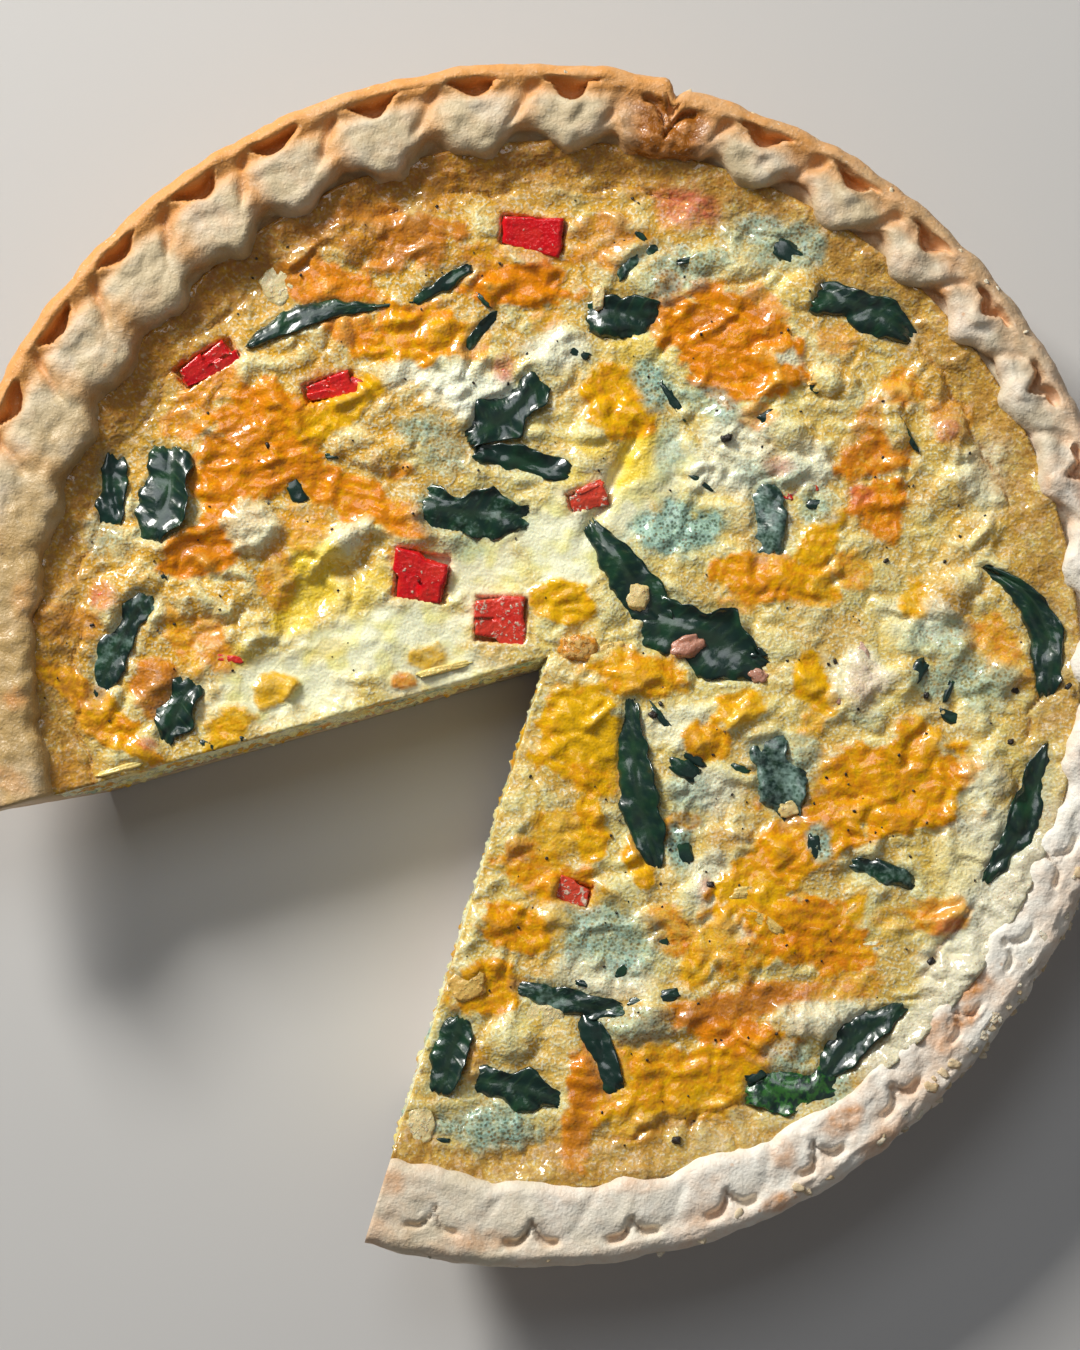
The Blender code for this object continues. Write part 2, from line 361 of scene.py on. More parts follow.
class Graph:
    """A material under construction."""

    def __init__(self, name: str) -> None:
        """Starts a material with a Principled shader.

        Args:
            name: The material's name.
        """
        self.material = bpy.data.materials.new(name)
        self.material.use_nodes = True
        self.tree = self.material.node_tree
        self.shader = self.tree.nodes["Principled BSDF"]
        self.shader.subsurface_method = "BURLEY"
        self.place = self.node("ShaderNodeTexCoord").outputs["Object"]

    def node(self, kind: str, settings: dict | None = None,
             inputs: dict | None = None) -> bpy.types.Node:
        """Adds a node.

        Args:
            kind: The node's type.
            settings: Its own settings, which are set first.
            inputs: Values or links of its sockets, by name or number.

        Returns:
            The node.
        """
        node = self.tree.nodes.new(kind)
        for label, value in (settings or {}).items():
            setattr(node, label, value)
        for label, value in (inputs or {}).items():
            self.feed(node.inputs[label], value)
        return node

    def feed(self, socket: bpy.types.NodeSocket, value: object) -> None:
        """Links or sets one socket."""
        if isinstance(value, Signal):
            value = value.socket
        if isinstance(value, bpy.types.NodeSocket):
            self.tree.links.new(value, socket)
        elif isinstance(value, tuple) and socket.type == "RGBA":
            socket.default_value = (*value[:3], 1.0)
        else:
            socket.default_value = value

    def signal(self, kind: str, settings: dict, inputs: dict, output: str | int) -> Signal:
        """One output of a new node."""
        return Signal(self, self.node(kind, settings, inputs).outputs[output])

    def field(self, name: str) -> Signal:
        """A value stored on the mesh's points."""
        return self.signal("ShaderNodeAttribute", {"attribute_name": name}, {}, "Fac")

    def noise(self, size: float, detail: float = 3.0, rough: float = 0.55) -> Signal:
        """Noise of a size in millimetres, from 0 to 1."""
        inputs = {"Vector": self.place, "Scale": 1000.0 / size, "Detail": detail, "Roughness": rough}
        return self.signal("ShaderNodeTexNoise", {}, inputs, "Fac")

    def cells(self, size: float) -> Signal:
        """Distance to scattered seeds a size apart, in millimetres, as a share of that size."""
        inputs = {"Vector": self.place, "Scale": 1000.0 / size}
        return self.signal("ShaderNodeTexVoronoi", {}, inputs, "Distance")

    def mix(self, share: "Signal | float", first: "Signal | Colour",
            second: "Signal | Colour") -> Signal:
        """Mixes two colours."""
        inputs = {0: share, 6: first, 7: second}
        return self.signal("ShaderNodeMix", {"data_type": "RGBA"}, inputs, 2)

    def coats(self, base: "Signal | Colour", *layers: tuple) -> Signal:
        """Colours laid over a base one after another, each a share and a colour."""
        for share, colour in layers:
            base = self.mix(share, base, colour)
        return base

    def bump(self, height: Signal, depth: float) -> Signal:
        """A Bump node whose full height is a depth in millimetres."""
        inputs = {"Strength": 1.0, "Distance": depth * MM, "Height": height}
        return self.signal("ShaderNodeBump", {}, inputs, "Normal")

    def finish(self, **sockets: object) -> bpy.types.Material:
        """Sets the shader's sockets, named with underscores for spaces, and gives the material."""
        for label, value in sockets.items():
            self.feed(self.shader.inputs[label.replace("_", " ")], value)
        return self.material


@dataclass(frozen=True)
class BakedEgg:
    """Egg custard with melted cheese, browned froth and a skin near the lip, with painted highlights on
    the puffs' tops and painted shade in their hollows, pits, open bubbles, cracks and under the lip.
    """

    froth: Colour = (0.64, 0.32, 0.022)
    hollow_shade_amber: Colour = (0.66, 0.36, 0.03)
    froth_pale: Colour = (0.80, 0.64, 0.19)
    froth_peak_highlight: Colour = (0.95, 0.90, 0.46)
    peach: Colour = (0.74, 0.38, 0.08)
    custard: Colour = (0.98, 0.97, 0.66)
    lemon: Colour = (0.98, 0.91, 0.28)
    yolk: Colour = (0.95, 0.68, 0.04)
    curd: Colour = (0.93, 0.96, 0.76)
    cheese_yellow: Colour = (0.88, 0.49, 0.004)
    cheese_orange: Colour = (0.79, 0.245, 0.002)
    cheese_deep: Colour = (0.66, 0.15, 0.005)
    cheese_peak_highlight: Colour = (0.99, 0.70, 0.12)
    brown_and_painted_shade: Colour = (0.40, 0.14, 0.014)
    skin: Colour = (0.46, 0.255, 0.045)
    herb: Colour = (0.34, 0.56, 0.46)
    herb_dark: Colour = (0.05, 0.14, 0.11)
    blush: Colour = (0.66, 0.12, 0.07)

    def build(self) -> bpy.types.Material:
        """The finish as a material that reads the filling's fields."""
        g = Graph("baked_egg")
        broad, fine = g.noise(5.0, 1.0), g.noise(1.3, 2.0)
        wide, specks = g.noise(13.0, 1.0), g.noise(0.6, 0.0)
        golden, high, cheese = g.field("golden"), g.field("high"), g.field("cheese")
        base = g.mix((golden * 0.9 + (broad - 0.5) * 1.6).clamp(), self.froth_pale, self.froth)
        base = g.coats(
            base,
            ((wide.ramp(0.42, 0.68) * (fine + 0.15)).clamp() * 0.8, self.peach),
            # Deeper yellow laid in the low places of the golden areas: painted shade in the hollows.
            ((golden * (0.62 - high) * (broad * 2.0)).clamp() * 0.8, self.cheese_yellow),
            # Warm darker colour laid in the low places between the puffs: painted shade and glow in the
            # hollows.
            (((0.36 - high) * 3.0 + (fine - 0.5) * 1.4).clamp() * 0.5, self.hollow_shade_amber),
            # Paler colour laid on the tops of the puffs, by their height: a painted highlight.
            ((high * 1.5 + (fine - 0.5) * 2.2 - 0.3).clamp() * 0.75, self.froth_peak_highlight),
            # Pale flecks where the fine bumps stand up and darker flecks where they dip: partly pale
            # bubbles, partly painted glints, and painted shade in the pits.
            (((specks - 0.57) * 9.0).clamp() * 0.5, self.curd),
            (((0.42 - specks) * 8.0).clamp() * 0.3, self.froth),
            ((g.field("white") * (fine * 0.8 + 0.5)).clamp(), self.curd),
            (g.field("custard"), g.mix(broad.ramp(0.42, 0.66) * 0.7, self.custard, self.lemon)),
            ((g.field("yolk") * (broad + 0.4)).clamp(), self.yolk))
        tone = g.field("tone") + (fine - 0.5) * 1.1 + (broad - 0.5) * 0.5
        melted = g.mix(tone.ramp(0.1, 0.95), self.cheese_yellow, self.cheese_orange)
        melted = g.mix(tone.ramp(0.95, 1.7), melted, self.cheese_deep)
        # Lighter cheese colour on the tops of the puffs: a painted highlight.
        lit = (high * 1.2 + (fine - 0.5) * 2.0 - 0.75).clamp() * 0.6
        melted = g.mix(lit, melted, self.cheese_peak_highlight)
        base = g.coats(
            base,
            ((cheese * 1.35 + (fine - 0.5) * 0.7 + (broad - 0.5) * 0.4 - 0.12).clamp(), melted),
            ((g.field("skin") * (broad * 1.2 + (fine - 0.5) * 2.4)).clamp(), self.skin),
            # Toasted patches, together with the painted shadow under the lip and the painted shade in
            # cracks.
            ((g.field("toast_and_painted_shade") * (fine * 1.3 + 0.1)).clamp(), self.brown_and_painted_shade))
        cells = g.cells(0.8)
        film = cells.ramp(0.2, 0.62) * 1.1 + (broad - 0.5) * 0.8
        green = g.mix(film.clamp(), self.herb_dark, self.herb)
        base = g.coats(
            base,
            ((g.field("herb") * (fine * 1.5 + 0.45) - 0.06).clamp() * 0.92, green),
            ((g.field("blush") * (fine * 1.2 + 0.1)).clamp(), self.blush))
        open_froth = ((1.0 - g.field("custard")) * (1.0 - cheese * 0.7)).clamp()
        # Brown at the middles of the froth's cells: painted shade in open bubbles.
        pores = cells.ramp(0.26, 0.14) * broad.ramp(0.44, 0.6)
        base = g.mix(pores * open_froth * 0.5, base, self.brown_and_painted_shade)
        calm = 1.0 - g.field("custard") * 0.35 - cheese * 0.4
        relief = (fine * 0.8 + specks * 0.5) * calm + broad * 0.5
        roughness = 0.42 - cheese * 0.12 - g.field("custard") * 0.1 + g.field("skin") * 0.15
        return g.finish(
            Base_Color=base, Roughness=(roughness + (fine - 0.5) * 0.4).clamp(),
            Normal=g.bump(relief, 0.34), Specular_IOR_Level=0.22,
            Coat_Weight=((broad * 0.5 + fine + specks - 1.05) * 4.0).clamp(), Coat_Roughness=0.1,
            Subsurface_Weight=0.15, Subsurface_Radius=(0.6, 0.3, 0.08), Subsurface_Scale=0.003)


@dataclass(frozen=True)
class Pastry:
    """Baked shortcrust: pale, whiter toward the lower right, golden where it stands up, stained where
    egg boiled over, with painted light toward the key light and painted shade in its pockets and seams.
    """

    pale: Colour = (0.62, 0.50, 0.31)
    flour: Colour = (0.98, 0.94, 0.84)
    golden: Colour = (0.70, 0.32, 0.085)
    # Brown of the pressed pockets, which paints their shade as well as their browning.
    baked: Colour = (0.62, 0.24, 0.050)
    skin: Colour = (0.55, 0.37, 0.15)
    stain: Colour = (0.76, 0.34, 0.11)
    caramel: Colour = (0.33, 0.11, 0.012)

    def build(self) -> bpy.types.Material:
        """The finish as a material that reads the shell's fields."""
        g = Graph("pastry")
        broad, fine, grit = g.noise(9.0, 2.0), g.noise(2.2, 2.0), g.noise(0.6, 1.0)
        # Whiter pastry toward the lower right: flaky floury pastry on the torn side, and partly painted
        # light.
        flour_and_painted_light = (broad.ramp(0.42, 0.75) * 0.35 + g.field("flour_and_painted_light") * 1.1).clamp()
        base = g.mix(flour_and_painted_light, self.pale, self.flour)
        golden = (g.field("golden") + (fine - 0.5) * 0.5 + (broad - 0.5) * 0.5).clamp()
        base = g.coats(
            base,
            # Golden: browning, with painted light on the side toward the key light and painted shade in
            # the seams between lobes.
            (golden, self.golden),
            # Brown in the pressed pockets: browning and painted shade.
            ((g.field("pocket") * (0.75 + fine * 0.4)).clamp(), self.baked),
            ((g.field("skin") * (fine * 0.7 + 0.6)).clamp(), self.skin),
            ((g.field("stain") * (fine * 1.4 + 0.1)).clamp(), self.stain))
        foam = g.mix(((fine - 0.45) * 4.0).clamp(), self.caramel, self.stain)
        base = g.mix((g.field("spill") * (broad * 1.4 + 0.45)).clamp(), base, foam)
        freckles = g.cells(4.5).ramp(0.13, 0.05) * broad.ramp(0.5, 0.6)
        base = g.coats(
            base,
            (freckles * 0.5, self.stain),
            (((grit - 0.62) * 4.0).clamp() * 0.35, self.flour))
        wet = g.field("spill") * 0.42 + g.field("skin") * 0.22 + g.field("stain") * 0.25
        return g.finish(
            Base_Color=base, Roughness=(0.58 - wet + (grit - 0.5) * 0.3).clamp(),
            Normal=g.bump(fine * 0.6 + grit * 0.3, 0.5))


@dataclass(frozen=True)
class WetLeaf:
    """Cooked spinach: nearly black green, glossy, veined, with egg froth dried on it in places, the
    froth tinted blue-green as a painted bluish sheen.
    """

    dark: Colour = (0.004, 0.026, 0.019)
    green: Colour = (0.009, 0.058, 0.022)
    vein: Colour = (0.06, 0.13, 0.04)
    # Dried froth, made blue-green to stand for the bluish sheen on the wet leaf: partly painted
    # reflection.
    froth: Colour = (0.36, 0.54, 0.48)
    fresh: Colour = (0.03, 0.16, 0.02)

    def build(self) -> bpy.types.Material:
        """The finish as a material that reads a leaf's fields."""
        g = Graph("wet_leaf")
        broad, fine = g.noise(6.0, 1.0), g.noise(1.2, 2.0)
        base = g.mix(broad.ramp(0.45, 0.75), self.dark, self.green)
        base = g.coats(
            base,
            (g.field("fresh") * fine.ramp(0.4, 0.6), self.fresh),
            (g.field("vein") * 0.55, self.vein))
        film = g.cells(0.9).ramp(0.15, 0.55) * 0.7 + 0.3
        froth = (g.field("froth") * 1.7 + fine * 1.3 + broad * 1.1 - 1.75).clamp() * film
        base = g.mix(froth, base, self.froth)
        relief = fine * 0.35 + broad * 0.6 - g.field("vein") * 0.6
        return g.finish(
            Base_Color=base, Roughness=(0.24 + fine * 0.16 + froth * 0.3).clamp(),
            Normal=g.bump(relief, 0.25), Coat_Weight=1.0 - froth * 0.7, Coat_Roughness=0.14)


@dataclass(frozen=True)
class Flesh:
    """A moist cut piece with a deeper and a lighter colour, used for peppers, ham, onion and cheese."""

    name: str
    deep: Colour
    light: Colour
    fleck: Colour
    roughness: float = 0.3
    coat: float = 0.5
    spread: float = 0.15
    grain: float = 2.5
    fleck_share: float = 0.5

    def build(self) -> bpy.types.Material:
        """The finish as a material; the field tone moves it towards the lighter colour."""
        g = Graph(self.name)
        broad, fine = g.noise(self.grain * 2.0, 3.0), g.noise(self.grain * 0.4, 4.0)
        base = g.mix((g.field("tone") + (broad - 0.5) * 0.9).clamp(), self.deep, self.light)
        flecks = (fine + g.field("tone") * 0.22).ramp(0.62, 0.72)
        flecks = flecks * g.noise(self.grain * 1.4).ramp(0.42, 0.56)
        base = g.mix((flecks * self.fleck_share).clamp(), base, self.fleck)
        relief = fine + g.cells(self.grain * 0.35) * 0.5 + flecks * 0.8
        return g.finish(
            Base_Color=base, Roughness=(self.roughness + (fine - 0.5) * 0.3).clamp(),
            Normal=g.bump(relief, 0.22),
            Coat_Weight=(0.4 + broad).clamp() * self.coat, Coat_Roughness=0.1,
            Subsurface_Weight=self.spread, Subsurface_Radius=(0.8, 0.25, 0.12), Subsurface_Scale=0.003)


# Form ----------------------------------------------------------------------------------------------


@dataclass(frozen=True)
class ShellForm:
    """The sizes of the pastry shell, in millimetres and degrees from +X."""

    rim_radius: float = 122.5
    rim_height: float = 35.0
    floor: float = 4.5
    mouth: float = 103.5
    mouth_height: float = 27.0
    floor_radius: float = 88.0
    side_shift: float = 4.5
    lean: float = 1.2
    high_side: float = 130.0
    flat_side: float = -38.0
    flat_depth: float = 2.2
    break_side: float = 75.8

    def mouth_radius(self, angle: np.ndarray) -> np.ndarray:
        """Radius inside the lip, wider at +X."""
        return self.mouth + self.side_shift * np.cos(angle)

    def inner_radius(self, angle: np.ndarray, height: float | np.ndarray) -> np.ndarray:
        """Radius of the inner wall at a height."""
        share = (height - self.floor) / (self.mouth_height - self.floor)
        return self.floor_radius + share * (self.mouth_radius(angle) - self.floor_radius)

    def near(self, angle: np.ndarray, side: float, sharp: float) -> np.ndarray:
        """1 towards a side, falling to 0 away from it the faster the sharper."""
        return np.maximum(0.0, np.cos(angle - math.radians(side))) ** sharp

    def edge(self, angle: np.ndarray) -> np.ndarray:
        """Radius of the lip's outer edge: round, a little flat on one side, stepped where it broke."""
        flat = self.flat_depth * self.near(angle, self.flat_side, 14.0)
        past = np.degrees(angle) - self.break_side
        step = 1.0 * smooth(0.4, -0.4, past) * smooth(-26.0, -4.0, past)
        notch = 2.4 * np.exp(-((past / 0.6) ** 2))
        return self.rim_radius - flat - step - notch

    def top(self, angle: np.ndarray) -> np.ndarray:
        """Height of the lip's crest, lower on the flattened side."""
        crest = self.rim_height - self.lean + self.lean * np.cos(angle - math.radians(self.high_side))
        return crest - 1.4 * self.near(angle, self.flat_side, 16.0)


FORM = ShellForm()


@dataclass(frozen=True)
class MissingSlice:
    """The wedge that was taken out. What is left fans round its point, from one cut to the other."""

    x: float = 3.2
    y: float = 1.0
    left: float = 195.8
    right: float = 252.7

    def fan(self, count: int) -> np.ndarray:
        """Directions from the right cut round to the left cut, in radians."""
        return np.radians(np.linspace(self.right - 360.0, self.left, count))

    def reach(self, way: np.ndarray, radius: np.ndarray) -> np.ndarray:
        """Distance from the slice's point to a circle round the shell's middle."""
        along = self.x * np.cos(way) + self.y * np.sin(way)
        return np.sqrt(np.maximum(radius**2 - self.x**2 - self.y**2 + along**2, 0.0)) - along

    def place(self, way: np.ndarray, distance: np.ndarray) -> tuple[np.ndarray, np.ndarray]:
        """x and y at a distance from the slice's point."""
        return self.x + distance * np.cos(way), self.y + distance * np.sin(way)


SLICE = MissingSlice()


class LeafForm(Enum):
    """How a piece of leaf is shaped on the plan."""

    POINTED = "narrow at its start, widest near its end"
    BLOCK = "a square cut piece"
    TORN = "a ragged piece"
    STRIP = "a narrow strip"
    BLADE = "a whole leaf, tapered at both ends"


def leaf_width(share: np.ndarray, form: LeafForm) -> np.ndarray:
    """Half width of a leaf at a share of its length, as a share of its widest."""
    if form is LeafForm.POINTED:
        return 0.10 + 0.90 * np.sin(math.pi * np.minimum(1.0, 0.06 + 0.94 * share ** 1.5)) ** 0.75
    if form is LeafForm.BLOCK:
        return 0.80 + 0.20 * np.sin(math.pi * share)
    if form is LeafForm.TORN:
        return 0.55 + 0.35 * np.sin(math.pi * share) + 0.16 * np.sin(11.0 * share + 1.0)
    if form is LeafForm.STRIP:
        return 0.72 + 0.28 * np.sin(math.pi * share) ** 0.6
    return 0.14 + 0.86 * np.sin(math.pi * np.clip(0.05 + 0.90 * share, 0.0, 1.0)) ** 0.7


def along_across(thing: object, x: np.ndarray, y: np.ndarray) -> tuple[np.ndarray, np.ndarray]:
    """Distances along and across a thing that has a place and a heading, in millimetres."""
    turn = math.radians(thing.heading)
    dx, dy = x - thing.x, y - thing.y
    return dx * math.cos(turn) + dy * math.sin(turn), dy * math.cos(turn) - dx * math.sin(turn)


@dataclass(frozen=True)
class Leaf:
    """One piece of spinach: its place and size on the plan, how it bows, curls and sinks."""

    x: float
    y: float
    length: float
    width: float
    heading: float
    bow: float
    form: LeafForm = LeafForm.TORN
    curl: float = 1.0
    lift: float = 0.5
    froth: float = 0.25
    fresh: float = 0.0
    hook: float = 0.0

    def spine(self, share: np.ndarray) -> np.ndarray:
        """How far the middle line lies to the side, at shares of the length."""
        return self.bow * np.sin(math.pi * share) + self.hook * (1.0 - share) ** 4

    def axes(self) -> tuple[np.ndarray, np.ndarray]:
        """The directions along and across the leaf."""
        turn = math.radians(self.heading)
        return np.array([math.cos(turn), math.sin(turn)]), np.array([-math.sin(turn), math.cos(turn)])

    def shares(self, x: np.ndarray, y: np.ndarray) -> tuple[np.ndarray, np.ndarray]:
        """Where points lie on the leaf.

        Args:
            x: Places along X in millimetres.
            y: Places along Y.

        Returns:
            The share of the length, 0 to 1 on the leaf, and the share of the half width.
        """
        along, across = along_across(self, x, y)
        share = along / self.length + 0.5
        inner = np.clip(share, 0.0, 1.0)
        offset = across - self.spine(inner)
        return share, offset / (0.5 * self.width * leaf_width(inner, self.form))

    def cover(self, x: np.ndarray, y: np.ndarray, margin: float) -> np.ndarray:
        """1 well inside the leaf, falling to 0 at a margin outside it, in millimetres."""
        share, across = self.shares(x, y)
        past_end = (np.abs(share - 0.5) - 0.5) * self.length
        past_side = (np.abs(across) - 1.0) * 0.5 * self.width
        return smooth(margin, -margin, np.maximum(past_end, past_side))


F = LeafForm
LEAVES = (
    Leaf(-75.8, 34, 20, 13, -104, 1.5, F.TORN, 2.4, 1.2, 0.05),
    Leaf(-85.6, 35, 15, 6, -92, 0, F.STRIP, 1.2, 0.6, 0.1),
    Leaf(-45, 68.5, 28, 5.2, 197, -2.5, F.POINTED, 1.0, 1.0, 0.05),
    Leaf(-18.5, 77, 14, 3, 33, 0, F.STRIP, 0.6, 0.8, 0.1),
    Leaf(-10, 67.5, 11, 2.8, 50, 0.5, F.STRIP, 0.6, 0.5, 0.2),
    Leaf(-83.5, 2.5, 25, 7.5, -115, -1, F.TORN, 0.8, 0.6, 0.3),
    Leaf(-72, -10.3, 14, 8.5, -112, 0, F.TORN, 1.0, 0.8, 0.1),
    Leaf(-5.5, 51.5, 20, 11, -140, 1, F.TORN, 1.4, 0.9, 0.1),
    Leaf(-2, 40.5, 20, 6, -11, 0.5, F.STRIP, 1.2, 0.8, 0.1),
    Leaf(-11.5, 31, 22, 12, -7, -1, F.TORN, 1.4, 0.8, 0.25),
    Leaf(18.5, 71, 14.5, 9.5, 0, 0, F.BLOCK, 1.2, 1.0, 0.05),
    Leaf(22.5, 82, 12.5, 2.8, 34, 1, F.STRIP, 0.5, 0.3, 0.3),
    Leaf(68, 70.5, 22, 9.5, -24, 1.5, F.TORN, 1.2, 0.9, 0.1),
    Leaf(48, 29, 15, 7, -84, 0.5, F.BLOCK, 0.8, 0.7, 0.45),
    Leaf(20, 17.5, 27, 9.5, -52, -0.5, F.POINTED, 0.8, 0.9, 0.15),
    Leaf(35, 3.5, 26, 16, -26, 1.5, F.TORN, 2.2, 1.1, 0.05),
    Leaf(22.8, -25, 36, 9, -81, -1.5, F.POINTED, 1.4, 1.0, 0.1),
    Leaf(50, -24, 18, 11, -72, 0, F.TORN, 1.2, 0.7, 0.45),
    Leaf(103.5, 6.5, 28, 7.5, -85, 1.5, F.BLADE, 1.2, 1.1, 0.05, 0.0, -11.0),
    Leaf(98, -31, 31, 8.5, 66, -2, F.POINTED, 1.2, 1.1, 0.05),
    Leaf(71, -43.5, 14, 4.5, -18, 0.5, F.STRIP, 0.8, 0.5, 0.3),
    Leaf(7.5, -68.3, 23, 6, -13, -1, F.BLADE, 0.8, 0.7, 0.3),
    Leaf(13.5, -79.5, 17.5, 5.5, -66, 0.5, F.STRIP, 0.8, 0.7, 0.1),
    Leaf(-16.5, -80, 16, 7.2, -106, 0, F.BLOCK, 1.4, 0.9, 0.2),
    Leaf(-3, -87, 18, 9.5, -14, 0.5, F.TORN, 1.2, 0.8, 0.1),
    Leaf(66.5, -77, 23, 8.5, -140, -1, F.POINTED, 1.4, 1.0, 0.1),
    Leaf(52.5, -87, 19, 10, -173, 0.5, F.TORN, 1.4, 0.9, 0.1, 0.9),
)


@dataclass(frozen=True)
class Die:
    """One cut piece of red pepper on the plan, with how far its top stands out of the filling."""

    x: float
    y: float
    length: float
    width: float
    heading: float
    proud: float = 1.4
    tilt: float = 6.0
    pale: float = 0.0
    taper: float = 0.25

    def cover(self, x: np.ndarray, y: np.ndarray, margin: float) -> np.ndarray:
        """1 well inside the piece, falling to 0 at a margin outside it, in millimetres."""
        along, across = along_across(self, x, y)
        past = np.maximum(np.abs(along) - self.length / 2, np.abs(across) - self.width / 2)
        return smooth(margin, -margin, past)


DICE = (
    Die(0, 88, 14.5, 7.4, -8, 0.7, 9.0, 0.0, 0.7),
    Die(-66.5, 61, 14.5, 6, 32, 0.6, 12.0, 0.05, 0.9),
    Die(-41.5, 56, 12, 5.4, 15, 0.4, 14.0, 0.1, 0.5),
    Die(-22.5, 17.5, 12, 11, -8, 1.3, 9.0, 0.0, -0.2),
    Die(-6.5, 8.5, 11.5, 10.5, -4, 1.1, 8.0, 0.3, 0.3),
    Die(11, 33.5, 9, 5, 17, 0.4, 14.0, 0.5, 0.5),
    Die(8.5, -47, 7.5, 5.5, -16, 0.4, 10.0, 0.45, -0.6),
)


# Baked top -----------------------------------------------------------------------------------------


@dataclass(frozen=True)
class Patch:
    """An oval patch of the baked top: place, length, width, heading, strength, and tone or height."""

    x: float
    y: float
    length: float
    width: float
    heading: float = 0.0
    strength: float = 1.0
    extra: float = 0.5

    def distance(self, points: np.ndarray) -> np.ndarray:
        """Distance from the patch's middle, 1 on its outline."""
        along, across = along_across(self, points[:, 0], points[:, 1])
        return np.hypot(2.0 * along / self.length, 2.0 * across / self.width)

    def mask(self, points: np.ndarray, ragged: np.ndarray, soft: float) -> np.ndarray:
        """The patch's strength at points, with an uneven edge."""
        return self.strength * smooth(1.0 + soft, 1.0 - soft, self.distance(points) + ragged)


def patches(*rows: tuple) -> tuple[Patch, ...]:
    """Patches from rows of their sizes."""
    return tuple(Patch(*row) for row in rows)


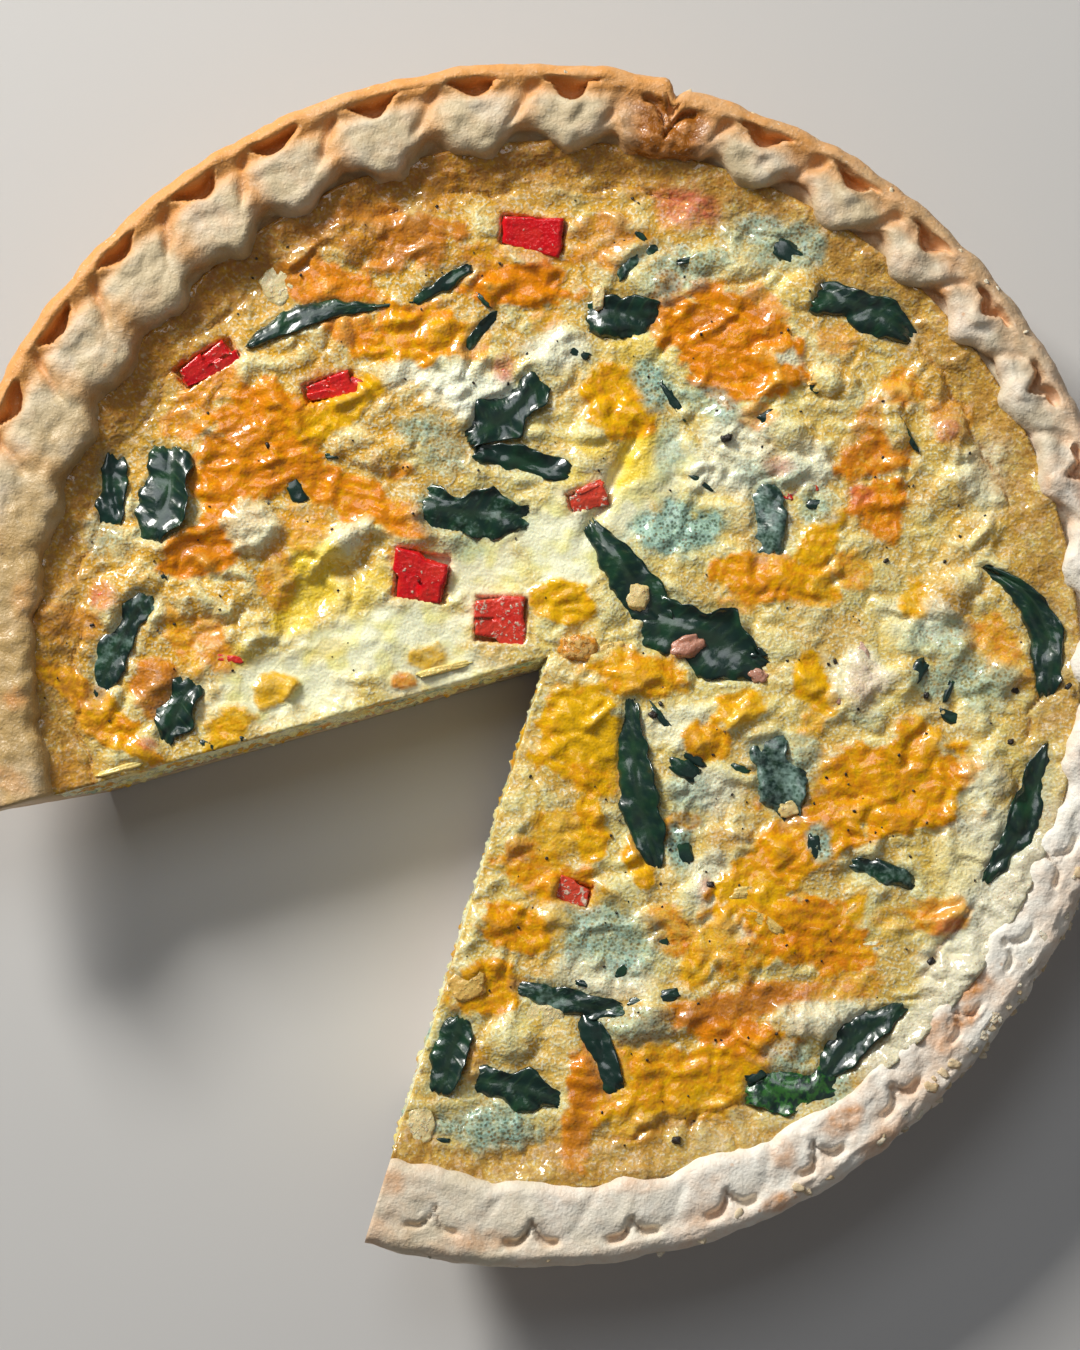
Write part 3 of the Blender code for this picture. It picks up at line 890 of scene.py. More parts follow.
CHEESE = patches(
    (-29, 87, 26, 14, -10, .7, 1.0), (-42, 77, 18, 10, -25, .8, .9), (-3, 77, 20, 8, -5, .95, .9),
    (-19, 96, 10, 7, 80, .5, .9), (-25, 67, 22, 12, 5, .95, .6), (-55, 45, 20, 22, 20, .95, .8),
    (-40, 52, 20, 9, 38, 1, .3), (-36, 68, 12, 8, 0, .7, .9), (-63, 57, 10, 7, 45, .6, .8),
    (-70, 50, 14, 9, 20, .6, .8), (-12, 66, 8, 8, 60, .7, .6), (2, 70, 8, 5, 30, .5, .5),
    (-10, 83, 12, 6, -10, .6, .7), (39, 67, 30, 17, -25, 1, .85), (41, 57, 14, 8, -10, .9, .8),
    (18, 53, 16, 12, -35, 1, .4), (15, 86, 16, 12, 10, .5, .9), (48, 73, 12, 6, -40, .6, .9),
    (62, 66, 10, 7, 20, .5, .7), (76, 56, 9, 7, -20, .7, .6), (85, 50, 12, 9, -50, .5, .9),
    (46, 50, 8, 6, 0, .6, .7), (24, 96, 12, 6, 0, .35, .8), (-62, 36, 14, 22, 0, .95, .8),
    (-68, 22, 18, 10, 15, .95, .9), (-47, 27, 10, 12, 45, .5, .7), (-36, 33, 20, 9, -25, .95, .75),
    (-28, 29, 12, 8, -20, .8, .8), (-52, 18, 8, 14, 0, .6, .6), (-28, 40, 8, 5, -20, .7, .8),
    (-92, -6, 26, 5, -32, .95, .55), (-85, -15, 20, 4.5, -30, .9, .5), (-77, -6, 9, 12, 10, .7, 1),
    (-95, 8, 14, 8, -5, .55, .9), (-65, 4, 7, 12, 25, .6, .8), (-72, 5, 5, 14, 30, .7, .5),
    (-94, -22, 12, 8, 20, .5, .8), (-62, -14, 12, 7, 45, .8, .3), (-53, -6, 9, 6, 20, .75, .1),
    (-22, 1, 8, 5, 0, .7, .1), (-26, -4, 5, 3, 0, .7, .8), (6, 12, 12, 8, 0, .9, .3),
    (21, -3, 19, 9, -10, .85, .45), (9, -14, 14, 20, -25, 1, .35), (15, -23, 12, 9, -10, .95, .45),
    (47, 17, 20, 9, -4, 1, .6), (57, 15, 12, 8, -8, .85, .45), (42, 12, 10, 5, 5, .6, .5),
    (58, 24, 6, 14, -30, .9, .35), (65, 18, 8, 8, 0, .7, .5), (71, 31, 10, 13, 10, .85, .8),
    (70, 42, 14, 9, 20, .8, .8), (70, 50, 12, 8, 30, .5, .9), (78, 13, 6, 8, 0, .8, .3),
    (95, 2, 9, 18, 32, .65, .55), (57, -5, 7, 12, 25, .9, .35), (42, -10, 10, 7, 25, .85, .35),
    (36, -17, 8, 9, 60, .85, .5), (12, -14, 12, 12, -25, 1, -.4), (57, -13, 6, 5, 0, .6, .4),
    (70, -26, 38, 17, 10, 1, .55), (60, -33, 22, 12, 30, 1, .6), (78, -15, 10, 6, -10, .85, .5),
    (5, -35, 12, 9, 0, .7, .3), (12, -34, 6, 13, 0, .9, .4), (-2, -38, 6, 5, 0, .7, .7),
    (3, -44, 20, 8, -8, .85, .55), (-4, -54, 14, 9, -20, .95, .6), (3, -52, 10, 10, 0, .6, .4),
    (15, -50, 10, 6, -30, .6, .3), (22, -40, 6, 12, 10, .9, .4), (-9, -66, 16, 10, 15, .9, .5),
    (28, -55, 12, 9, -30, .7, .55), (37, -57, 7, 11, -45, .9, .3), (33, -63, 6, 8, 0, .8, .4),
    (43, -60, 14, 7, 10, .9, .5), (50, -42, 30, 11, 32, 1, .5), (42, -46, 12, 6, 10, 1, .2),
    (52, -35, 14, 7, 35, .9, .6), (55, -55, 22, 13, -10, 1, .75), (48, -51, 12, 9, -30, 1, .3),
    (64, -52, 10, 5, 55, .9, .35), (61, -59, 14, 9, 0, .9, .6), (40, -70, 36, 7, 12, .7, 1),
    (42, -76, 22, 7, -12, .85, .85), (33, -84, 42, 9, 20, 1, .5), (22, -80, 14, 9, 0, .8, .45),
    (10, -88, 7, 20, -8, .9, .85), (9, -98, 6, 12, 0, .7, .9), (22, -93, 16, 8, 15, .65, .4),
    (36, -88, 16, 8, 20, .8, .4), (62, -66, 16, 7, 5, .6, .5), (82, -52, 12, 8, -10, .75, .6),
    (73, -53, 9, 8, 0, .5, .3), (30, -33, 10, 4, 25, .9, .6), (-12, -82, 5, 8, 0, .5, .6),
)
CUSTARD = patches(
    (-32, 4, 42, 15, 14), (-50, -5, 30, 14, 15), (-10, 18, 24, 15, 10, .9), (6, 24, 22, 18, -20),
    (18, 33, 16, 14, 60, .9), (-20, -2, 26, 8, 10, .8), (27, 40, 9, 16, -25, .8),
)
YOLK = patches(
    (-45, 20, 12, 12, 0, .9), (-47, 11, 14, 8, 40, .9), (-35, 14, 16, 7, 35, .6),
    (21, 42, 7, 15, -25, .95), (8, 38, 6, 4, 0, .6), (12, 44, 8, 5, 0, .5), (22, 64, 14, 10, 0, .5),
    (33, 30, 8, 5, 0, .5), (-60, 1, 8, 5, 0, .5), (-42, 2, 8, 4, 20, .5), (74, 6, 8, 8, 0, .35),
    (85, -42, 12, 12, 0, .35),
)
MOUNDS = patches(
    (-57, 27, 12, 14, 20, 1, 1.9), (-66, 13, 20, 8, -8, 1, 2.1), (-38, 24, 17, 6.5, 40, 1, 2.1),
    (-33, 43, 18, 8, -10, .8, 1.9), (-57, 6, 11, 10, 0, 1, 1.7), (-83, 14, 16, 10, 20, .8, 1.3),
    (-88, 25, 12, 14, 0, .7, 1.1), (-15, 52, 18, 12, -10, .8, 1.5), (-70, 64, 16, 12, 20, .9, 1.1),
    (-36, 86, 14, 10, 0, .5, 1.7), (54, 76, 11, 9, 0, 1, 1.9), (35, 82, 9, 6, 0, .9, 1.6),
    (62, 57, 10, 7, 0, .8, 1.5), (82, 57, 9, 7, -40, .8, 1.5), (86, 45, 11, 9, -60, .8, 1.7),
    (87, 36, 10, 9, 0, .8, 1.5), (84, 13, 10, 11, 0, .7, 1.7), (74, 47, 6, 10, 10, .9, 1.7),
    (22, -73, 16, 8, 5, .9, 1.7), (38, -37, 14, 8, 10, .9, 1.7), (56, -73, 16, 8, -8, 1, 1.9),
    (-4, -76, 14, 9, 0, .8, 1.3), (-8, -95, 20, 10, 0, .8, 1.3), (90, 25, 10, 9, 0, .6, 1.2),
    (-78, 22, 8, 8, 0, .9, 1.3), (75, -4, 8, 8, 0, .8, 1.5), (65, -5, 10, 12, 0, .6, 1.5),
    (53, 46, 14, 8, 0, .7, 1.3), (92, -24, 12, 12, 0, .4, 1.3), (40, -58, 16, 12, -30, .3, 1.1),
)
WHITE = patches(
    (-12, 55, 20, 11, -15), (-24, 60, 14, 6, 20, .8), (5, 64, 12, 8, 0, .8), (50, 62, 10, 9, 0, .7),
    (42, 45, 18, 12, 0, .7), (55, 40, 12, 10, 0, .7), (40, 38, 16, 8, 0, .8),
    (66, -3, 12, 10, 0, .8), (78, 8, 14, 10, 0, .6), (92, -40, 18, 22, 0, .7),
    (90, -25, 12, 10, 0, .6), (35, -26, 12, 10, 0, .7), (30, -13, 14, 10, 0, .6),
    (36, -45, 10, 12, 0, .7), (40, -52, 14, 7, -30, .7), (15, -64, 20, 8, -5, .6),
    (92, 38, 12, 14, 0, .6), (60, -72, 18, 8, 0, .7), (-57, 27, 10, 12, 0, .5),
    (-38, 25, 14, 5, 40, .5), (94, -54, 46, 22, 60, 1), (79, -76, 30, 14, 42, .9),
)
HERB = patches(
    (30, 27, 18, 11, 10), (25, 57, 8, 12, 20, .8), (35, 53, 16, 6, -15, .6),
    (50, 86, 22, 10, -15, .6), (30, 80, 18, 10, 20, .6), (28, 44, 6, 12, 0, .5),
    (48, 38, 14, 6, 0, .4), (58, 32, 8, 8, 0, .6), (90, -4, 16, 10, -20, .6),
    (82, -4, 10, 8, 0, .6), (16, -57, 20, 14, -20, .7), (32, -28, 8, 14, 0, .5),
    (30, -38, 6, 10, 0, .8), (-8, -94, 22, 9, 0, .75), (20, -74, 16, 8, 0, .5),
    (62, -85, 6, 14, -20, .6), (52, -80, 12, 6, 0, .6), (-18, 42, 10, 8, 0, .5),
    (-20, 30, 10, 8, 0, .5), (-88, 26, 8, 8, 0, .4), (82, 5, 14, 8, 10, .5),
    (68, -10, 10, 6, 30, .4), (-22, 48, 10, 6, 0, .6), (58, -37, 5, 9, 10, .8),
    (54, -24, 9, 14, -20, .6), (-14, 24, 10, 6, 0, .5),
)
BLUSH = patches(
    (67, -5, 9, 11, 20, .35), (67, 34, 5, 5, 0, .7), (-6, 60, 5, 5, 0, .8), (-87, 13, 6, 6, 0, .7),
    (31, 93, 12, 9, -20, .8), (50, 40, 6, 4, 0, .6), (84, -54, 6, 3, 20, .8),
    (35, -46, 3, 6, 0, .6), (-78, -17, 4, 3, 0, .8), (0, 83, 9, 4, -10, .5),
    (-42, 58, 8, 4, 15, .5), (84, 47, 5, 4, 0, .6),
)
TOAST = patches(
    (-27, 87, 24, 12, 0, .8), (-18, 82, 10, 8, 0, .4), (-62, 45, 10, 8, 0, .4),
    (-76, -6, 9, 10, 0, .8), (-68, 21, 10, 6, 0, .4), (-95, 8, 12, 6, 0, .4),
    (36, 70, 8, 5, -20, .4), (68, 45, 12, 8, 30, .5), (40, -70, 32, 5, 12, .8),
    (58, -52, 10, 6, 0, .4), (10, -90, 6, 14, -8, .5), (43, 74, 12, 5, -35, .4),
    (86, 48, 10, 7, -50, .4), (87, 12, 8, 8, 0, .35), (18, 88, 14, 8, 0, .4),
    (-44, 60, 10, 5, 20, .3), (40, -36, 10, 4, 10, .4), (-88, 40, 8, 8, 0, .3),
)
GOLDEN = patches(
    (-55, 48, 90, 80, 50, 1), (-10, 88, 110, 44, 0, 1), (-82, 8, 50, 44, 0, 1),
    (75, 62, 60, 40, -50, .6), (92, 15, 30, 60, 5, .5), (30, -78, 90, 30, 12, .7),
    (0, -50, 26, 80, -16, .35), (66, -30, 60, 40, 20, .4), (90, -72, 60, 24, 40, .2),
    (0, -100, 60, 18, 10, .4), (68, 40, 30, 30, 0, .5), (-85, -20, 40, 16, 16, .5),
)


PAINTED = {
    "custard": CUSTARD, "yolk": YOLK, "white": WHITE, "herb": HERB, "blush": BLUSH, "toast_and_painted_shade": TOAST,
    "golden": GOLDEN,
}


def painted(group: tuple[Patch, ...], points: np.ndarray, ragged: np.ndarray,
            soft: float) -> np.ndarray:
    """The strongest of a group's patches at each point."""
    value = np.zeros(len(points))
    for patch in group:
        value = np.maximum(value, patch.mask(points, ragged, soft))
    return value


class BakedTop:
    """The filling's baked surface: its height and what it is at each place."""

    def __init__(self) -> None:
        """Sets up the surface's noise."""
        self.noise = Noise(11)
        self.other = Noise(29)

    def swell(self, x: np.ndarray, y: np.ndarray) -> np.ndarray:
        """Height of the slow swells that the filling is modelled with."""
        puff = np.minimum(1.0, np.hypot(x, y) / 100.0) ** 2
        return 27.2 + puff + 0.5 * np.sin(x / 17.0 + 0.6) * np.cos(y / 19.0 - 0.4)

    def lumps(self, x: np.ndarray, y: np.ndarray) -> np.ndarray:
        """Broad unevenness."""
        return 1.0 * self.noise.layered(flat_points(x, y), 22.0, 2)

    def fields(self, x: np.ndarray, y: np.ndarray) -> dict[str, np.ndarray]:
        """What the baked top is at each place, with a painted shadow under the lip and painted shade in
        the cracks.

        Args:
            x: Places along X in millimetres.
            y: Places along Y.

        Returns:
            Shares from 0 to 1 by name, and in millimetres "mound", the height of the foamy mounds,
            and "border", the distance inside the lip.
        """
        points = flat_points(x, y)
        ragged = 0.34 * self.noise.layered(points, 6.0, 3) + 0.16 * self.other.layered(points, 2.0, 2)
        count = len(points)
        cheese, tone, weight = np.zeros(count), np.zeros(count), np.full(count, 1e-3)
        shreds = np.zeros(count)
        for patch in CHEESE:
            mask = patch.mask(points, ragged, 0.4)
            near = mask > 0.0
            along, across = along_across(patch, points[near, 0], points[near, 1])
            strands = self.other.layered(flat_points(along / 4.5, across, patch.x), 2.1, 2)
            body = mask[near] * (1.0 + 0.6 * strands)
            cheese[near] = np.maximum(cheese[near], smooth(0.05, 0.5, body) * patch.strength)
            tone += mask * patch.extra
            weight += mask
            shreds[near] += mask[near] * strands
        result = {"cheese": cheese, "tone": tone / weight, "shreds": shreds / np.maximum(weight, 1.0)}
        for name, group in PAINTED.items():
            result[name] = painted(group, points, ragged, 0.4)
        mound, froth = np.zeros(count), np.zeros(count)
        for patch in MOUNDS:
            distance = patch.distance(points) + 0.9 * ragged
            dome = np.clip(1.0 - distance**2, 0.0, 1.0) ** 0.7
            mound = np.maximum(mound, patch.extra * dome)
            froth = np.maximum(froth, patch.strength * smooth(1.05, 0.75, distance))
        result["mound"] = mound
        result["cheese"] = cheese * (1.0 - 0.85 * froth)
        result["custard"] *= (1.0 - froth) * (1.0 - cheese)
        leaf, stain, die = np.zeros(count), np.zeros(count), np.zeros(count)
        for piece in LEAVES:
            leaf = np.maximum(leaf, piece.cover(x, y, 1.0))
            stain = np.maximum(stain, (0.3 + 0.5 * piece.froth) * piece.cover(x, y, 3.5))
        for piece in DICE:
            die = np.maximum(die, piece.cover(x, y, 1.2))
            result["blush"] = np.maximum(result["blush"], 0.3 * piece.cover(x, y, 2.2))
        result["leaf"], result["die"] = leaf, die
        result["herb"] = np.maximum(result["herb"], stain)
        angle, radius = np.arctan2(y, x), np.hypot(x, y)
        inside = FORM.mouth_radius(angle) - radius + 2.0 * self.noise.at(points, 14.0)
        result["skin"] = smooth(13.0, 4.0, inside + 4.0 * ragged) * (1.0 - 0.6 * cheese)
        # Less skin toward the lower right, so it stays pale there: whitish curd, and partly painted
        # light.
        result["skin"] *= 1.0 - 0.9 * FORM.near(angle, -38.0, 4.0)
        result["border"] = inside
        # Brown laid on the skin just inside the lip, strongest toward the key light: a painted shadow
        # of the lip.
        shade = 0.25 + 0.65 * FORM.near(angle, 116.0, 2.0)
        result["toast_and_painted_shade"] = np.maximum(result["toast_and_painted_shade"], shade * smooth(9.0, 1.0, inside + 5.0 * ragged))
        crack = inside - 6.0 + 1.6 * self.other.layered(points, 7.0, 3)
        open_crack = smooth(-0.3, 0.1, self.noise.at(points, 16.0))
        result["crack"] = np.exp(-((crack / 0.45) ** 2)) * open_crack
        # Brown laid in the cracks: painted shade.
        result["toast_and_painted_shade"] = np.maximum(result["toast_and_painted_shade"], 0.8 * result["crack"])
        result["high"] = np.clip(0.5 * self.puffs(points, result), 0.0, 1.0)
        return result

    def puffs(self, points: np.ndarray, part: dict[str, np.ndarray]) -> np.ndarray:
        """Height of the puffs and folds of the baked surface, in millimetres."""
        sway = [self.noise.at(points, 6.0), self.other.at(points, 6.0), np.zeros(len(points))]
        warp = points + 2.8 * np.stack(sway, -1)
        large = np.sqrt(self.noise.layered(warp * np.array([1.0, 1.25, 1.0]), 9.0, 2, 0.3) ** 2 + 0.015)
        small = np.sqrt(self.other.layered(warp, 4.0, 2, 0.4) ** 2 + 0.02)
        curds, tag = self.other.cells(warp, 2.7)
        curdy = np.clip(1.0 - (curds / 0.75) ** 2, 0.0, 1.0) * (0.4 + 0.6 * tag)
        calm = (1.0 - 0.74 * part["custard"]) * (1.0 - 0.45 * part["skin"])
        return calm * (2.0 * large + 0.35 * small + 1.0 * curdy * (0.12 + 0.88 * part["white"]))

    def height(self, x: np.ndarray, y: np.ndarray, part: dict[str, np.ndarray]) -> np.ndarray:
        """Height of the finished surface.

        Args:
            x: Places along X in millimetres.
            y: Places along Y.
            part: The fields at those places.

        Returns:
            Heights in millimetres.
        """
        points = flat_points(x, y)
        tiny, _ = self.noise.cells(points, 1.6)
        frothy = smooth(-0.15, 0.3, self.noise.at(points, 5.0))
        bubbles = np.clip(1.0 - (tiny / 0.6) ** 2, 0.0, 1.0) * frothy
        grain = 0.1 * (1.0 - 0.75 * part["custard"]) * self.other.layered(points, 2.2, 2)
        relief = self.puffs(points, part) + part["mound"] + grain
        relief += 0.32 * bubbles * (1.0 - part["custard"])
        relief += part["cheese"] * (0.45 + 0.45 * part["shreds"])
        covered = np.maximum(part["leaf"], part["die"])
        height = self.swell(x, y) + self.lumps(x, y) + blend(relief, 0.25 * relief + 0.5, covered)
        fold_along = (x - 14.0) * 0.46 + (y - 33.0) * 0.89
        fold_across = (x - 17.0) * 0.89 - (y - 38.0) * 0.46
        fold = np.exp(-((fold_across / 1.6) ** 2)) * smooth(18.0, 8.0, np.abs(fold_along - 4.0))
        height -= 1.8 * fold
        valley = Patch(-43, 15, 26, 7, 42)
        height -= 1.8 * valley.mask(points, np.zeros(len(points)), 0.6)
        height -= 1.0 * part["crack"]
        height += 1.6 * smooth(4.5, -2.5, part["border"])
        return height - 0.5 * part["leaf"] - 2.6 * smooth(0.75, 1.0, part["die"])


TOP = BakedTop()
FIELD_NAMES = ("cheese", "tone", "custard", "yolk", "white", "herb", "blush", "toast_and_painted_shade", "skin",
               "golden", "high")


@dataclass
class Filling:
    """The egg filling: a baked top over custard, with two cut faces."""

    rings: int = 172
    sectors: int = 5
    bottom: float = 9.7
    wall_rows: int = 24
    side_step: int = 8

    def build(self, material: bpy.types.Material) -> bpy.types.Object:
        """Builds the filling.

        Args:
            material: Its finish.

        Returns:
            The filling, closed all round.
        """
        noise = Noise(5)
        rings, sectors = self.rings, self.sectors
        ways = [np.array([0.0])] + [SLICE.fan(sectors * k + 1) for k in range(1, rings + 1)]
        starts = np.concatenate([[0], np.cumsum([len(w) for w in ways])])
        way = np.concatenate(ways)
        share = np.concatenate([np.full(len(w), k / rings) for k, w in enumerate(ways)])
        limit = np.full(len(way), 106.0)
        for _ in range(2):
            x, y = SLICE.place(way, SLICE.reach(way, limit))
            limit = FORM.mouth_radius(np.arctan2(y, x)) + 3.2
        x, y = SLICE.place(way, share * SLICE.reach(way, limit))
        part = TOP.fields(x, y)
        top = flat_points(x, y, TOP.height(x, y, part))
        triangles = self.fan_faces(starts)
        columns = {"right": starts[:-1][: rings + 1].copy(), "left": starts[1:] - 1}
        points, values = [top], [{name: part[name] for name in FIELD_NAMES}]
        quads, count = [], len(top)
        pole = None
        walls = {}
        for side, direction in (("right", SLICE.right), ("left", SLICE.left)):
            edge = top[columns[side]]
            wall, number, count = self.cut_wall(edge, direction, side, noise, count, pole)
            points.append(wall[:, 0 if pole is None else 1:].reshape(-1, 3))
            if pole is None:
                pole = number[:, 0]
            full = np.vstack([columns[side], number])
            walls[side] = full
            strip = quads_of(full.T)
            quads.append(strip if side == "right" else strip[:, ::-1])
        outer = starts[-2] + np.arange(sectors * rings + 1)
        rows = [outer]
        for depth in range(self.side_step, self.wall_rows + 1, self.side_step):
            low = blend(27.0, self.bottom, depth / self.wall_rows)
            angle = np.arctan2(top[outer, 1], top[outer, 0])
            radius = FORM.inner_radius(angle, low) + 0.4
            ring = flat_points(*SLICE.place(ways[-1], SLICE.reach(ways[-1], radius)), low)[1:-1]
            points.append(ring)
            row = np.concatenate([[walls["right"][depth, -1]], count + np.arange(len(ring)),
                                  [walls["left"][depth, -1]]])
            count += len(ring)
            rows.append(row)
        grid = np.array(rows)
        quads.append(quads_of(grid[:, 1:-1].T))
        ends = []
        for k in range(len(rows) - 1):
            first, last = k * self.side_step, (k + 1) * self.side_step
            right = walls["right"][first:last + 1, -1]
            left = walls["left"][first:last + 1, -1]
            ends.append(np.concatenate([right, [grid[k + 1, 1], grid[k, 1]]]))
            ends.append(np.concatenate([left[::-1], [grid[k, -2], grid[k + 1, -2]]]))
        base = np.concatenate([walls["right"][-1], grid[-1, 1:-1], walls["left"][-1][:0:-1]])
        mesh_points = np.concatenate(points)
        values.append(self.cut_fields(mesh_points[len(top):]))
        fields = {name: np.concatenate([value[name] for value in values]) for name in FIELD_NAMES}
        blocks = [triangles, np.concatenate(quads), np.array(ends), base[None, ::-1]]
        return make_mesh("egg_filling", mesh_points, blocks, fields, material)

    def fan_faces(self, starts: np.ndarray) -> np.ndarray:
        """Triangles between the rings, whose numbers of points grow with their radius."""
        faces = []
        for ring in range(1, self.rings + 1):
            outer, inner = starts[ring], starts[ring - 1]
            for sector in range(self.sectors):
                a = outer + sector * ring + np.arange(ring)
                b = inner + sector * (ring - 1) + np.arange(ring)
                faces.append(np.stack([b, a, a + 1], -1))
                if ring > 1:
                    faces.append(np.stack([b[:-1], a[:-1] + 1, b[:-1] + 1], -1))
        return np.concatenate(faces)

    def cut_wall(self, edge: np.ndarray, direction: float, side: str, noise: Noise, count: int,
                 pole: np.ndarray | None) -> tuple[np.ndarray, np.ndarray, int]:
        """A cut face below the top's edge, torn a little by the knife.

        Args:
            edge: The top's points along the cut, from the slice's point outwards.
            direction: The cut's direction in degrees.
            side: Which cut it is.
            noise: Where its unevenness comes from.
            count: Number of the first new point.
            pole: Numbers of the points under the slice's point, where they exist already.

        Returns:
            The points, their numbers and the number after the last.
        """
        rows, columns = self.wall_rows, len(edge)
        depth = np.linspace(0.0, 1.0, rows + 1)[1:, None]
        z = blend(edge[None, :, 2], self.bottom, depth)
        turn = math.radians(direction)
        out = np.array([math.sin(turn), -math.cos(turn)]) * (1.0 if side == "left" else -1.0)
        way = np.full(columns, turn)
        run = np.hypot(edge[:, 0] - SLICE.x, edge[:, 1] - SLICE.y)
        end = np.minimum(run[None, :], SLICE.reach(way, FORM.inner_radius(way, z) + 0.4))
        x, y = SLICE.place(way[None, :], end)
        points = flat_points(x.ravel(), y.ravel(), z.ravel())
        torn = 0.45 * noise.layered(points, 5.0, 3) + 0.25 * noise.at(points, 1.3)
        pits, _ = noise.cells(np.stack([end.ravel(), z.ravel()], -1), 2.6)
        torn -= 0.6 * smooth(0.34, 0.1, pits)
        hold = smooth(0.0, 0.12, depth) * smooth(1.0, 0.93, depth) * smooth(0.0, 3.0, end)
        shift = torn.reshape(rows, columns) * hold - 0.25 * hold
        x, y = x + shift * out[0], y + shift * out[1]
        grid = np.stack([x, y, z], -1)
        if pole is None:
            number = count + np.arange(rows * columns).reshape(rows, columns)
            return grid, number, count + rows * columns
        rest = count + np.arange(rows * (columns - 1)).reshape(rows, columns - 1)
        return grid, np.column_stack([pole, rest]), count + rows * (columns - 1)

    def cut_fields(self, points: np.ndarray) -> dict[str, np.ndarray]:
        """What the filling is inside: pale custard with streaks of cheese and a little leaf."""
        noise = Noise(17)
        flat = points * np.array([0.45, 0.45, 1.6])
        streaks = smooth(0.18, 0.42, noise.layered(flat, 5.0, 3))
        zero = np.zeros(len(points))
        return {
            "cheese": streaks * 0.9, "tone": 0.3 + 0.3 * noise.at(points, 9.0),
            "custard": 1.0 - streaks, "yolk": smooth(0.1, 0.5, noise.at(flat + 9.0, 6.0)) * 0.6,
            "herb": 0.8 * smooth(0.52, 0.6, noise.layered(flat + 50.0, 4.0, 2)),
            "high": 0.4 + 0.4 * noise.at(points, 3.0), "golden": zero + 0.25,
            "white": zero, "blush": zero, "toast_and_painted_shade": zero, "skin": zero,
        }


@dataclass
class HamLayer:
    """The ham under the egg, whose torn edge shows at both cuts."""

    low: float = 4.8
    high: float = 9.4
    columns: int = 190
    rows: int = 9
    rim_points: int = 160

    def build(self, material: bpy.types.Material) -> bpy.types.Object:
        """Builds the layer as one closed slab.

        Args:
            material: Its finish.

        Returns:
            The slab.
        """
        noise = Noise(23)
        levels = np.linspace(self.high, self.low, self.rows)
        run = np.linspace(0.0, 1.0, self.columns)
        rows = []
        for level_index, level in enumerate(levels):
            line = []
            for direction, side in ((SLICE.right, -1.0), (SLICE.left, 1.0)):
                turn = math.radians(direction)
                way = np.full(self.columns, turn)
                radius = FORM.inner_radius(way, level) - 0.3
                x, y = SLICE.place(way, run * SLICE.reach(way, radius))
                points = flat_points(x, y, level)
                ragged = 0.9 * noise.layered(points, 6.0, 3) + 0.6 * noise.at(points, 1.8) + 0.35
                ragged += 1.3 * smooth(0.45, 0.15, run) * (side > 0.0)
                ragged = np.clip(ragged, -0.6, 2.4) * smooth(0.0, 0.05, run) * smooth(1.0, 0.97, run)
                bulge = math.sin(math.pi * (level_index + 0.5) / self.rows)
                out = np.array([math.sin(turn), -math.cos(turn)]) * side
                x, y = x + ragged * bulge * out[0], y + ragged * bulge * out[1]
                line.append(flat_points(x, y, level))
            ways = SLICE.fan(self.rim_points)[1:-1]
            radius = FORM.inner_radius(ways, level) - 0.3
            outer = flat_points(*SLICE.place(ways, SLICE.reach(ways, radius)), level)
            rows.append(np.concatenate([line[0], outer, line[1][:0:-1]]))
        loop = len(rows[0])
        number = np.arange(len(rows) * loop).reshape(len(rows), loop)
        band = quads_of(np.column_stack([number, number[:, 0]]).T)
        faces = [band, number[0][None], number[-1][None, ::-1]]
        points = np.concatenate(rows)
        tone = 0.5 + 0.5 * noise.at(points, 7.0)
        return make_mesh("ham_slab", points, faces, {"tone": tone}, material)


# Shell ---------------------------------------------------------------------------------------------


CRIMPS = (
    (-100.0, 0.15), (-90.0, 0.42), (-80.0, 0.45), (-70.0, 0.42), (-60.0, 0.40), (-50.0, 0.36),
    (-40.0, 0.12), (-31.0, 0.1), (-21.0, 0.15), (-10.0, 0.4), (0.0, 0.6), (9.5, 0.7), (19.0, 0.75),
    (28.5, 0.8), (37.5, 0.85), (46.5, 0.95), (56.0, 1.0), (66.0, 0.95), (76.0, 0.35), (86.0, 0.95),
    (95.7, 1.0), (106.0, 1.05), (116.5, 1.0), (125.3, 1.1), (135.5, 1.05), (145.0, 1.0),
    (154.0, 0.9), (163.0, 0.8), (172.5, 0.75), (182.0, 0.7), (191.0, 0.5),
)
STAINS = patches(
    (88, -66, 9, 6, 30), (87, -72, 8, 4, 45, .9), (82, -76, 9, 8, 0, .6), (63, -93, 9, 6, 20, .8),
    (49, -110, 5, 4, 0, .9), (-28, -105, 6, 5, 0, .5), (50, -99, 5, 8, 30, .5),
    (83, 75, 4, 3, 0, .8), (-105, -8, 5, 4, 0, .8), (-106, -24, 8, 4, -30, .5),
    (95, -50, 8, 6, 0, .35), (20, -106, 16, 4, 0, .35), (-103, 12, 6, 8, 0, .4),
    (106, 36, 6, 10, 0, .35), (70, -97, 10, 4, 40, .5), (-10, -117, 10, 4, 0, .4),
)


